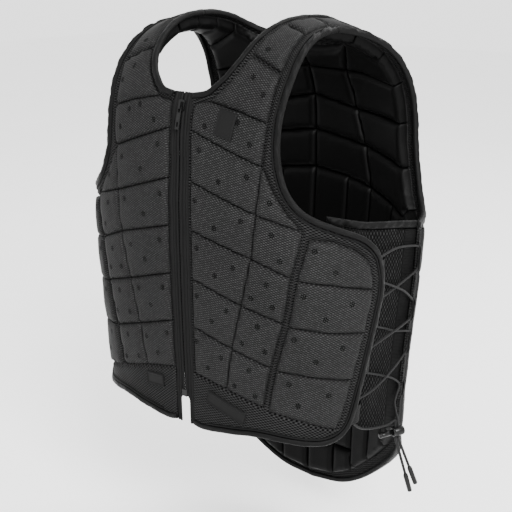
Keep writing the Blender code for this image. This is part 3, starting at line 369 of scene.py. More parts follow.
class FlatWork:
    """Mesh drawn flat on the pattern, with depth as its height, that is then wrapped onto the body."""

    def __init__(self) -> None:
        """Start with an empty mesh."""
        self.mesh = bmesh.new()
        self.mark = self.mesh.verts.layers.float.new("mark")

    def polygon(self, outline: Array) -> bmesh.types.BMFace:
        """Face of an outline, facing out."""
        points = outline if signed_area(outline) > 0.0 else outline[::-1]
        face = self.mesh.faces.new([self.mesh.verts.new((*point, 0.0)) for point in points])
        face.normal_update()
        return face

    def cut(self, geometry: list, step: float) -> list:
        """Cut flat geometry along a square grid so that it can follow the body."""
        corners = [item.co for item in geometry if isinstance(item, bmesh.types.BMVert)]
        for axis in (0, 1):
            low, high = min(c[axis] for c in corners), max(c[axis] for c in corners)
            for place in np.arange(math.ceil(low / step) * step, high, step):
                point, normal = Vector(), Vector()
                point[axis], normal[axis] = place, 1.0
                made = bmesh.ops.bisect_plane(self.mesh, geom=geometry, dist=1e-5, plane_co=point,
                                              plane_no=normal)
                geometry = made["geom"]
        return geometry

    def block(self, outline: Array, rings: Sequence[float], step: float) -> None:
        """Add one block: rings of faces that follow its outline, a gridded middle and a skirt."""
        face = self.polygon(outline)
        rim = list(face.edges)
        made: set = {face}
        for width in rings:
            made.update(bmesh.ops.inset_region(self.mesh, faces=[face], thickness=width,
                                               use_even_offset=True)["faces"])
        skirt = bmesh.ops.extrude_edge_only(self.mesh, edges=rim)["geom"]
        for item in skirt:
            if isinstance(item, bmesh.types.BMVert):
                item[self.mark] = 1.0
                item.co.z = -0.001
        geometry = list(made)
        geometry += list({edge for item in made for edge in item.edges})
        geometry += list({vert for item in made for vert in item.verts})
        self.cut(geometry, step)

    def arrays(self) -> tuple[Array, Array]:
        """Vertex coordinates and marks."""
        self.mesh.verts.index_update()
        places = np.array([tuple(vert.co) for vert in self.mesh.verts])
        marks = np.array([vert[self.mark] for vert in self.mesh.verts])
        return places, marks

    def wrapped(self, mapper: Mapper, places: Array) -> bpy.types.Mesh:
        """Mesh on the body.

        Args:
            mapper: Wraps pattern points and depths.
            places: Pattern coordinates and depth of each vertex.

        Returns:
            Mesh with the pattern as its UV map, in metres.
        """
        layer = self.mesh.loops.layers.uv.new("flat")
        for face in self.mesh.faces:
            for loop in face.loops:
                x, y, depth = places[loop.vert.index]
                fall = min(depth + 0.004, 0.0)
                loop[layer].uv = (x + 0.8 * fall, y + 0.6 * fall)
        for vert, point in zip(self.mesh.verts, mapper(places[:, 0], places[:, 1], places[:, 2])):
            vert.co = point
        return piece_mesh(self.mesh)


def sheet_mesh(rows: int, columns: int, placer: Callable[[Array, Array], Array], size: Pair,
               closed: bool = False, thickness: float = 0.0) -> bpy.types.Mesh:
    """Mesh of a grid that a function places in space.

    Args:
        rows: Faces along u.
        columns: Faces along v.
        placer: Gives points for u and v, each from 0 to 1.
        size: Lengths in metres that u and v stand for on the UV map.
        closed: Whether v runs round a tube, whose ends are then capped.
        thickness: Wall added under the face, if any.

    Returns:
        The mesh.
    """
    work = bmesh.new()
    bmesh.ops.create_grid(work, x_segments=rows, y_segments=columns, size=0.5, calc_uvs=False)
    work.verts.index_update()
    uv = np.array([(vert.co.x + 0.5, vert.co.y + 0.5) for vert in work.verts])
    layer = work.loops.layers.uv.new("flat")
    for face in work.faces:
        for loop in face.loops:
            u, v = uv[loop.vert.index]
            loop[layer].uv = (u * size[0], v * size[1])
    for vert, point in zip(work.verts, placer(uv[:, 0], uv[:, 1])):
        vert.co = point
    if closed:
        bmesh.ops.remove_doubles(work, verts=work.verts, dist=1e-6)
        rims = [edge for edge in work.edges if len(edge.link_faces) == 1]
        bmesh.ops.holes_fill(work, edges=rims, sides=0)
    if thickness:
        bmesh.ops.solidify(work, geom=work.faces[:], thickness=thickness)
    bmesh.ops.recalc_face_normals(work, faces=work.faces)
    return piece_mesh(work)


def frames_along(path: Array) -> tuple[Array, Array, Array]:
    """Tangents and two steady cross directions along a path in space."""
    tangent = np.gradient(path, axis=0)
    tangent /= np.linalg.norm(tangent, axis=1, keepdims=True)
    side = np.cross(tangent[0], (0.31, 0.17, 0.93))
    sides = []
    for direction in tangent:
        side = side - direction * (side @ direction)
        side = side / np.linalg.norm(side)
        sides.append(side)
    across = np.array(sides)
    return tangent, across, np.cross(tangent, across)


def tube_mesh(path: Array, radius: float | Array, sides: int = 12) -> bpy.types.Mesh:
    """Closed round tube along a path, with its length and girth as its UV map."""
    _, across, up = frames_along(path)
    radii = np.broadcast_to(radius, len(path))
    length = line_length(path)

    def place(u: Array, v: Array) -> Array:
        """Points of the tube."""
        spot = u * (len(path) - 1)
        turn = v * 2.0 * math.pi

        def mixed(values: Array) -> Array:
            """Values between the stations."""
            return np.stack([np.interp(spot, np.arange(len(path)), column) for column in values.T], -1)

        wide = np.interp(spot, np.arange(len(path)), radii)[:, None]
        ring = mixed(across) * np.cos(turn)[:, None] + mixed(up) * np.sin(turn)[:, None]
        return mixed(path) + ring * wide

    size = (length[-1], 2.0 * math.pi * float(radii.mean()))
    return sheet_mesh(len(path) - 1, sides, place, size, closed=True)


def join_meshes(meshes: Sequence[bpy.types.Mesh]) -> bpy.types.Mesh:
    """One mesh of several."""
    work = bmesh.new()
    for mesh in meshes:
        work.from_mesh(mesh)
    return piece_mesh(work)


# Shader maths


class Signal:
    """One number, colour or vector that a node gives, with Python arithmetic."""

    def __init__(self, bench: "Bench", socket: bpy.types.NodeSocket) -> None:
        """Wrap an output socket."""
        self.bench = bench
        self.socket = socket

    def math(self, operation: str, *others: "Signal | float") -> "Signal":
        """Result of a Math node."""
        values = {index: value for index, value in enumerate((self, *others))}
        return self.bench.node("ShaderNodeMath", {"operation": operation}, values)

    def __add__(self, other: "Signal | float") -> "Signal":
        """Sum."""
        return self.math("ADD", other)

    __radd__ = __add__

    def __mul__(self, other: "Signal | float") -> "Signal":
        """Product."""
        return self.math("MULTIPLY", other)

    __rmul__ = __mul__

    def __sub__(self, other: "Signal | float") -> "Signal":
        """Difference."""
        return self.math("SUBTRACT", other)

    def __rsub__(self, other: float) -> "Signal":
        """Difference from a number."""
        return self * -1.0 + other

    def __truediv__(self, other: "Signal | float") -> "Signal":
        """Quotient."""
        return self.math("DIVIDE", other)

    def __pow__(self, other: float) -> "Signal":
        """Power."""
        return self.math("POWER", other)

    def wave(self, period: float, shift: float = 0.0) -> "Signal":
        """Cosine with a period."""
        return (self * (2.0 * math.pi / period) + shift).math("COSINE")

    def step(self, low: float, high: float) -> "Signal":
        """Smooth step from 0 at low to 1 at high."""
        values = {"Value": self, "From Min": low, "From Max": high}
        return self.bench.node("ShaderNodeMapRange", {"interpolation_type": "SMOOTHSTEP"}, values)


class Bench:
    """Node tree of one finish."""

    def __init__(self, name: str, **constants: float | tuple[float, ...]) -> None:
        """Start a Principled finish with constant socket values."""
        self.material = bpy.data.materials.new(name)
        self.material.use_nodes = True
        self.tree = self.material.node_tree
        self.shader = self.tree.nodes["Principled BSDF"]
        for key, value in constants.items():
            self.shader.inputs[key.replace("_", " ").title().replace("Ior", "IOR")].default_value = value
        if "specular_ior_level" not in constants:
            self.shader.inputs["Specular IOR Level"].default_value = 0.2

    def node(self, kind: str, settings: dict, values: dict, output: int | str = 0) -> Signal:
        """Output of a new node.

        Args:
            kind: Type of the node.
            settings: Properties set first. "stops" gives the stops of a colour ramp.
            values: Number or signal of each socket, by name or index.
            output: Output that is wrapped.

        Returns:
            The output.
        """
        made = self.tree.nodes.new(kind)
        for key, value in settings.items():
            if key == "stops":
                while len(made.color_ramp.elements) < len(value):
                    made.color_ramp.elements.new(0.5)
                for element, (place, colour) in zip(made.color_ramp.elements, value):
                    element.position, element.color = place, (*colour, 1.0)
            else:
                setattr(made, key, value)
        for key, value in values.items():
            self.feed(made.inputs[key], value)
        return Signal(self, made.outputs[output])

    def feed(self, socket: bpy.types.NodeSocket, value: "Signal | float | tuple") -> None:
        """Link a signal to a socket, or set its value."""
        if isinstance(value, Signal):
            self.tree.links.new(value.socket, socket)
        else:
            socket.default_value = value

    def flat(self) -> tuple[Signal, Signal]:
        """Both coordinates of the piece's own UV map, in metres."""
        uv = self.node("ShaderNodeUVMap", {"uv_map": "flat"}, {})
        first = self.node("ShaderNodeSeparateXYZ", {}, {0: uv}, 0)
        return first, Signal(self, first.socket.node.outputs[1])

    def place(self) -> Signal:
        """Object coordinates."""
        return self.node("ShaderNodeTexCoord", {}, {}, "Object")

    def cloud(self, scale: float, detail: float = 2.0, vector: Signal | None = None) -> Signal:
        """Noise from 0 to 1 on Object coordinates."""
        where = self.place() if vector is None else vector
        return self.node("ShaderNodeTexNoise", {}, {"Vector": where, "Scale": scale, "Detail": detail}, 0)

    def blend(self, share: Signal, dark: Triple, light: Triple) -> Signal:
        """Colour between two by a share."""
        values = {0: share, 6: (*dark, 1.0), 7: (*light, 1.0)}
        return self.node("ShaderNodeMix", {"data_type": "RGBA"}, values, 2)

    def finish(self, colour: Signal, roughness: Signal | None = None, height: Signal | None = None,
               depth: float = 0.0) -> bpy.types.Material:
        """Feed the shader and give the material.

        Args:
            colour: Base colour.
            roughness: Roughness, where it varies.
            height: Bump height from 0 to 1.
            depth: Bump distance in metres.

        Returns:
            The material.
        """
        self.feed(self.shader.inputs["Base Color"], colour)
        if roughness is not None:
            self.feed(self.shader.inputs["Roughness"], roughness)
        if height is not None:
            bump = self.node("ShaderNodeBump", {}, {"Height": height, "Distance": depth, "Strength": 1.0})
            self.feed(self.shader.inputs["Normal"], bump)
        return self.material


def grey(value: float) -> Triple:
    """Neutral grey."""
    return value, value, value


@dataclass(frozen=True)
class NetFinish:
    """Net cloth of small slanted stitches over foam, drawn on the pattern's metres; its knots are lighter
    thread with a painted glint, its holes the dark layer behind with painted shade.
    """

    name: str
    rise: Pair = (258.0, 350.0)
    fall: Pair = (138.0, -400.0)
    # knot tone: the thread's own colour raised by a painted glint
    thread: float = 0.031
    ground: float = 0.0072
    # hole tone: the dark layer behind, darkened further as painted shade in the openings
    hole: float = 0.001
    open: float = 0.0
    relief: float = 0.00030

    def build(self) -> bpy.types.Material:
        """Make the material."""
        bench = Bench(self.name, specular_ior_level=0.03, sheen_weight=0.002, sheen_roughness=0.4)
        u, v = bench.flat()
        drift = bench.cloud(40.0, 1.0) * 1.2
        first = ((u * self.rise[0] + v * self.rise[1]) * (2.0 * math.pi) + drift).math("COSINE")
        second = ((u * self.fall[0] + v * self.fall[1]) * (2.0 * math.pi) - drift).math("COSINE")
        lattice = first + second
        # knots: lighter thread, partly a painted glint
        knot = lattice.step(0.15, 1.5)
        # holes: darkened as painted shade in the openings
        hole = (lattice * -1.0).step(1.2 - 1.3 * self.open, 1.9 - 1.1 * self.open)
        patchy = bench.cloud(330.0, 1.0)
        shade = bench.cloud(9.0, 3.0)
        # knot tone with its painted glint, patchy at random
        knot_tone_and_glint = knot * (patchy.step(0.34, 0.66) * 0.75 + 0.25)
        tone = knot_tone_and_glint * (self.thread - self.ground) + self.ground
        tone = tone * (1.0 - hole) + hole * self.hole
        tone = tone * (shade * 0.5 + 0.75)
        colour = bench.node("ShaderNodeCombineColor", {}, {0: tone, 1: tone, 2: tone})
        height = (1.0 - hole) * 0.6 + knot * 0.4
        return bench.finish(colour, (hole * 0.25 + 0.55), height, self.relief)


@dataclass(frozen=True)
class PlainClothFinish:
    """Smooth dark cloth with faint pile and soft shade."""

    name: str
    tone: float = 0.0022
    roughness: float = 0.5
    sheen: float = 0.006
    grain: float = 900.0
    relief: float = 0.00012

    def build(self) -> bpy.types.Material:
        """Make the material."""
        bench = Bench(self.name, specular_ior_level=0.05, sheen_weight=self.sheen, sheen_roughness=0.5)
        fine, broad = bench.cloud(self.grain, 2.0), bench.cloud(14.0, 3.0)
        colour = bench.blend(broad * 0.6 + fine * 0.4, grey(self.tone * 0.65), grey(self.tone * 1.4))
        return bench.finish(colour, fine * 0.15 + (self.roughness - 0.08), fine, self.relief)


@dataclass(frozen=True)
class RibFinish:
    """Woven tape or elastic with ribs along or across it."""

    name: str
    period: float = 0.0009
    across: bool = False
    second: float = 0.0
    tone: float = 0.02
    roughness: float = 0.6
    relief: float = 0.0002

    def build(self) -> bpy.types.Material:
        """Make the material."""
        bench = Bench(self.name, specular_ior_level=0.05, sheen_weight=0.002, sheen_roughness=0.4)
        u, v = bench.flat()
        rib = (u if self.across else v).wave(self.period) * 0.5 + 0.5
        if self.second:
            other = (v if self.across else u).wave(self.second) * 0.5 + 0.5
            rib = rib * (other * 0.6 + 0.4)
        wear = bench.cloud(60.0, 3.0)
        colour = bench.blend(rib * 0.75 + wear * 0.25, grey(self.tone * 0.35), grey(self.tone * 1.7))
        return bench.finish(colour, wear * 0.2 + (self.roughness - 0.1), rib, self.relief)


@dataclass(frozen=True)
class SatinFinish:
    """Satin binding tape with a fine cross grain and small puckers, lighter on their raised folds as a
    painted highlight.
    """

    name: str
    tone: float = 0.0013

    def build(self) -> bpy.types.Material:
        """Make the material."""
        bench = Bench(self.name, specular_ior_level=0.07, sheen_weight=0.002, sheen_roughness=0.35)
        u, v = bench.flat()
        grain = (u.wave(0.0006) * v.wave(0.0009)) * 0.5 + 0.5
        fold = bench.cloud(70.0, 3.0)
        # the fold noise is random tone and also a painted highlight, lighter where the bump raises the folds
        colour = bench.blend(grain * 0.3 + fold * 0.7, grey(self.tone * 0.7), grey(self.tone * 1.35))
        return bench.finish(colour, fold * 0.18 + 0.36, fold * 0.9 + grain * 0.1, 0.0009)


@dataclass(frozen=True)
class BraidFinish:
    """Braided cord."""

    name: str
    tone: float = 0.0055

    def build(self) -> bpy.types.Material:
        """Make the material."""
        bench = Bench(self.name, specular_ior_level=0.12, sheen_weight=0.01, sheen_roughness=0.4)
        u, v = bench.flat()
        first = (u / 0.0017 + v / 0.0020).math("FRACT")
        second = (u / 0.0017 - v / 0.0020).math("FRACT")
        plait = (first.wave(1.0) * second.wave(1.0)) * 0.5 + 0.5
        colour = bench.blend(plait, grey(self.tone * 0.4), grey(self.tone * 1.6))
        return bench.finish(colour, plait * -0.1 + 0.6, plait, 0.00025)


@dataclass(frozen=True)
class HardFinish:
    """Moulded plastic or painted metal with faint scuffs."""

    name: str
    tone: float = 0.0022
    roughness: float = 0.28
    metallic: float = 0.0

    def build(self) -> bpy.types.Material:
        """Make the material."""
        bench = Bench(self.name, metallic=self.metallic, coat_weight=0.03, coat_roughness=0.25,
                      specular_ior_level=0.14)
        scuff, grain = bench.cloud(220.0, 4.0), bench.cloud(1800.0, 1.0)
        worn = scuff.step(0.55, 0.75)
        colour = bench.blend(worn * 0.6 + grain * 0.2, grey(self.tone), grey(self.tone * 2.2))
        return bench.finish(colour, worn * 0.25 + self.roughness, grain, 0.00004)


# Panels


@dataclass
class PaddedPanel:
    """Panel of foam blocks: net cover with its base sheet outside, smooth lining inside.

    The tables hold shares of the quarter girth and levels.
    """

    name: str = "panel"
    groove: float = 0.0005
    corner: float = 0.0020
    crown: float = 0.0006
    base_depth: float = 0.0052
    skirt_depth: float = 0.0078
    cut_step: float = 0.0050
    quick_step: float = 0.0090
    rings: tuple[float, ...] = (0.0005, 0.0006, 0.0009, 0.0012)
    cover_rim: tuple[Pair, ...] = (
        (0.0, -0.0030), (0.0005, -0.0015), (0.0011, -0.0007), (0.0020, -0.0003), (0.0032, -0.0001),
        (0.0050, 0.0),
    )
    lining_rim: tuple[Pair, ...] = (
        (0.0, -0.0155), (0.0006, -0.0172), (0.0014, -0.0184), (0.0025, -0.0193), (0.0039, -0.0198),
        (0.0070, -0.0200),
    )
    vent_radius: float = 0.00095
    vent_ring: float = 0.0023
    vent_clear: float = 0.004
    under_binding: float = 0.55
    _blocks: list[Array] = field(default_factory=list)

    def mapper(self) -> Mapper:
        """Wrapping of this panel."""
        raise NotImplementedError

    def corners(self) -> list[Array]:
        """Block corners as pattern outlines."""
        raise NotImplementedError

    def outline(self) -> Array:
        """Outline of the whole panel under its bindings."""
        raise NotImplementedError

    def outlines(self) -> list[Array]:
        """Rounded outline of each block, inside its share of the groove."""
        if not self._blocks:
            for corners in self.corners():
                line = corners if signed_area(corners) > 0.0 else corners[::-1]
                shrunk = offset_line(np.vstack([line[-1:], line, line[:1]]), self.groove)[1:-1]
                self._blocks.append(rounded(shrunk, self.corner))
        return self._blocks

    def wrinkle(self, places: Array, size: float, seed: float) -> Array:
        """Slow unevenness of padded cloth, in metres."""
        return np.array([noise.noise(Vector((x * 38.0, y * 30.0, seed))) * size
                         + noise.noise(Vector((x * 110.0, y * 90.0, seed + 7.0))) * size * 0.35
                         for x, y in places[:, :2]])

    def shell(self, inside: bool) -> bpy.types.Mesh:
        """Outer or inner half of every block, wrapped on the body."""
        work = FlatWork()
        for outline in self.outlines():
            work.block(outline, self.rings, self.cut_step)
        places, marks = work.arrays()
        near = distance_to(places[:, :2], self.outlines())
        if inside:
            depth = np.interp(near, *np.array(self.lining_rim).T)
            depth = depth + self.wrinkle(places, 0.0004, 3.0) * ease(near, 0.001, 0.012)
        else:
            depth = np.interp(near, *np.array(self.cover_rim).T)
            depth = depth + self.crown * ease(near, 0.002, 0.024)
            depth = depth + self.wrinkle(places, 0.0007, 1.0) * ease(near, 0.0005, 0.010)
        places[:, 2] = np.where(marks > 0.5, -self.skirt_depth, depth)
        if inside:
            bmesh.ops.reverse_faces(work.mesh, faces=work.mesh.faces)
        return work.wrapped(self.mapper(), places)

    def base(self) -> bpy.types.Mesh:
        """Net sheet that the blocks stand on, low in the grooves and higher along the borders."""
        work = FlatWork()
        work.polygon(self.outline())
        bmesh.ops.triangulate(work.mesh, faces=work.mesh.faces)
        work.cut([*work.mesh.verts, *work.mesh.edges, *work.mesh.faces], 0.0030)
        bmesh.ops.solidify(work.mesh, geom=work.mesh.faces[:], thickness=0.0012)
        places, _ = work.arrays()
        under = places[:, 2].copy()
        under -= under.max()
        near = distance_to(places[:, :2], self.outlines())
        inside = self.covered(places[:, :2])
        lift = np.where(inside, 0.0, ease(near, 0.0010, 0.0048)) * (self.base_depth - EDGES.sheet_inset)
        wave = self.wrinkle(places, 0.0005, 5.0) * ease(lift, 0.001, 0.003)
        places[:, 2] = -self.base_depth + lift + wave + np.where(under < -0.0006, -0.0012, 0.0)
        return work.wrapped(self.mapper(), places)

    def covered(self, points: Array) -> Array:
        """Whether each pattern point lies under a block."""
        found = np.zeros(len(points), bool)
        for outline in self.outlines():
            x, y = points[:, 0], points[:, 1]
            inside = np.zeros(len(points), bool)
            for (x1, y1), (x2, y2) in zip(outline, np.roll(outline, -1, axis=0)):
                crosses = (y1 > y) != (y2 > y)
                inside ^= crosses & (x < (x2 - x1) * (y - y1) / (y2 - y1 + 1e-12) + x1)
            found |= inside
        return found

    def marks(self) -> list[Pair]:
        """Pattern places of the vents that show through the net."""
        places = []
        for index, corners in enumerate(self.corners()):
            line = corners if signed_area(corners) > 0.0 else corners[::-1]
            centre = line.mean(0)
            span = np.ptp(line, axis=0)
            if span.min() < 0.018:
                continue
            angle = 0.9 + 0.5 * (index % 3)
            for step in range(3):
                turn = angle + step * 2.1
                reach = np.array([math.cos(turn) * span[0] * 0.29, math.sin(turn) * span[1] * 0.27])
                places.append(tuple(centre + reach))
        return places

    def vents(self) -> bpy.types.Mesh:
        """Clusters of near-black discs on the blocks: painted shade of the vent holes under the net."""
        inside = [p for p, keep in zip(self.marks(), self.covered(np.array(self.marks()))) if keep]
        near = distance_to(np.array(inside), self.outlines())
        work = bmesh.new()
        for (x, y), far in zip(inside, near):
            if far < self.vent_clear:
                continue
            for spot in range(7):
                reach = 0.0 if spot == 6 else self.vent_ring
                turn = spot * math.pi / 3.0 + 0.4 + x * 40.0
                where = Matrix.Translation((x + reach * math.cos(turn), y + reach * math.sin(turn), 0.0))
                bmesh.ops.create_circle(work, cap_ends=True, segments=6, radius=self.vent_radius,
                                        matrix=where)
        places = np.array([tuple(vert.co) for vert in work.verts])
        depth = self.crown * ease(distance_to(places[:, :2], self.outlines()), 0.002, 0.024)
        depth = depth + self.wrinkle(places, 0.0007, 1.0) + 0.00022
        for vert, point in zip(work.verts, self.mapper()(places[:, 0], places[:, 1], depth)):
            vert.co = point
        bmesh.ops.recalc_face_normals(work, faces=work.faces)
        centre = Vector((0.0, 0.0, -0.25))
        for face in work.faces:
            if face.normal.dot(face.calc_center_median() - centre) < 0.0:
                face.normal_flip()
        return piece_mesh(work)


@dataclass
class FrontPanel(PaddedPanel):
    """Front panel of the wearer's left; the right one is its mirror image."""

    name: str = "front"
    zip_width: float = 0.0140
    zip_border: float = 0.0032
    neck: tuple[Pair, ...] = (
        (0.052, 0.302), (0.114, 0.319), (0.153, 0.362), (0.181, 0.404), (0.204, 0.464),
        (0.219, 0.528), (0.234, 0.640), (0.250, 0.800), (0.262, 1.000),
    )
    edge: tuple[Pair, ...] = (
        (0.438, 1.000), (0.446, 0.774), (0.466, 0.460), (0.459, 0.205), (0.464, 0.034), (0.487, -0.067),
        (0.531, -0.126), (0.588, -0.160), (0.664, -0.188), (0.764, -0.226), (0.826, -0.274), (0.859, -0.323),
        (0.880, -0.421), (0.852, -0.588), (0.815, -0.762), (0.781, -0.899), (0.740, -0.960), (0.672, -0.988),
        (0.584, -0.991), (0.393, -0.976), (0.255, -0.988), (0.105, -1.003), (0.052, -0.996),
    )
    rows: tuple[tuple, ...] = (
        (-0.079, (0.355, -0.162), (0.534, -0.205), (0.556, -0.232), (0.645, -0.246)),
        (-0.253, (0.331, -0.317), (0.488, -0.369), (0.513, -0.378), (0.644, -0.392)),
        (-0.430, (0.289, -0.490), (0.463, -0.534), (0.487, -0.545), (0.617, -0.561)),
        (-0.610, (0.249, -0.659), (0.420, -0.704), (0.445, -0.712), (0.592, -0.728)),
        (-0.788, (0.222, -0.817), (0.393, -0.857), (0.418, -0.868), (0.563, -0.898)),
    )
    seam_top: Pair = (0.388, 0.000)
    flap_corner: Pair = (0.702, -0.935)
    zip_row_top: float = 0.128
    band: float = 0.0016
    vent_places: tuple[Pair, ...] = (
        (0.319, 0.558), (0.394, 0.647), (0.310, 0.402), (0.215, 0.353), (0.369, 0.333), (0.397, 0.300),
        (0.285, 0.186), (0.134, 0.155), (0.222, 0.216), (0.342, 0.098), (0.109, 0.046), (0.330, -0.036),
        (0.205, -0.065), (0.091, -0.140), (0.420, -0.115), (0.300, -0.188), (0.181, -0.227), (0.421, -0.223),
        (0.347, -0.291), (0.451, -0.310), (0.095, -0.309), (0.262, -0.355), (0.180, -0.395), (0.090, -0.486),
        (0.231, -0.516), (0.162, -0.567), (0.082, -0.660), (0.204, -0.698), (0.139, -0.750), (0.400, -0.397),
        (0.338, -0.454), (0.425, -0.475), (0.368, -0.553), (0.303, -0.624), (0.402, -0.642), (0.336, -0.722),
        (0.268, -0.793), (0.364, -0.817), (0.576, -0.268), (0.748, -0.293), (0.653, -0.344), (0.540, -0.427),
        (0.720, -0.459), (0.625, -0.510), (0.513, -0.585), (0.699, -0.618), (0.600, -0.665), (0.502, -0.754),
        (0.659, -0.793), (0.542, -0.833),
    )

    def mapper(self) -> Mapper:
        """Wrapping of the front."""
        return TORSO.front

    def marks(self) -> list[Pair]:
        """Pattern places of the vents that show through the net."""
        return [tuple(point) for point in TORSO.flat(self.vent_places)]

    def corners(self) -> list[Array]:
        """Block corners as pattern outlines."""
        edge, neck = TORSO.flat(self.edge), TORSO.flat(self.neck)
        block = offset_line(edge, -EDGES.binding - EDGES.border)
        block[0, 1] = edge[0, 1]
        near = offset_line(neck, -EDGES.binding - EDGES.neck_border)
        near[-1, 1] = neck[-1, 1]
        near[0] = (self.zip_width + self.zip_border, neck[0, 1] - EDGES.binding - EDGES.neck_border)
        block[4] = TORSO.flat([self.seam_top])[0]
        block[7] = TORSO.flat([self.rows[0][3]])[0]
        heights = TORSO.flat([(0.0, self.zip_row_top)] + [(0.0, row[0]) for row in self.rows])[:, 1]
        zip_line = np.stack([np.full(6, self.zip_width + self.zip_border), heights], -1)
        seam, left, right, middle = (TORSO.flat([row[column] for row in self.rows])
                                     for column in (1, 2, 3, 4))
        corner = TORSO.flat([self.flap_corner])[0]
        up = np.array((0.0, self.band))
        blocks = [
            [near[8], near[7] + up, block[1] + up, block[0]],
            [near[7] - up, near[6], near[5] + up, block[2] + up, block[1] - up],
            [near[5] - up, *near[4:0:-1], block[3], block[2] - up],
            [near[1], near[0], zip_line[0], block[4], block[3]],
            [zip_line[0], zip_line[1], seam[0], block[4]],
            [block[4], seam[0], left[0], block[6], block[5]],
        ]
        for row in range(4):
            blocks.append([zip_line[row + 1], zip_line[row + 2], seam[row + 1], seam[row]])
            blocks.append([seam[row], seam[row + 1], left[row + 1], left[row]])
        blocks.append([block[8], right[0], right[1], middle[1], *block[12:8:-1]])
        blocks.append([right[1], right[2], middle[2], block[13], block[12], middle[1]])
        blocks.append([right[2], right[3], middle[3], block[14], block[13], middle[2]])
        blocks.append([right[3], right[4], middle[4], corner, block[15], block[14], middle[3]])
        return [np.array(points) for points in blocks]

    def edge_line(self) -> Array:
        """Bound edge, evenly spaced, from the shoulder round the armhole and flap to the zip."""
        line = smooth_line(TORSO.flat(self.edge), 0.0030)
        line[-1, 0] = self.zip_width + 0.0003
        return line

    def neck_line(self) -> Array:
        """Neck edge from the zip to the shoulder."""
        return smooth_line(TORSO.flat(self.neck), 0.0030)

    def outline(self) -> Array:
        """Outline of the whole panel under its bindings."""
        under = -EDGES.binding * self.under_binding
        edge = offset_line(self.edge_line()[::2], under)
        neck = offset_line(self.neck_line()[::2], under)
        edge[0, 1] = neck[-1, 1] = TORSO.arch_length
        inner = self.zip_width + 0.0003
        bottom = edge[edge[:, 0] > inner + 0.001]
        top = neck[neck[:, 0] > inner + 0.001]
        return np.vstack([top, bottom, [[inner, bottom[-1, 1]], [inner, top[0, 1]]]])


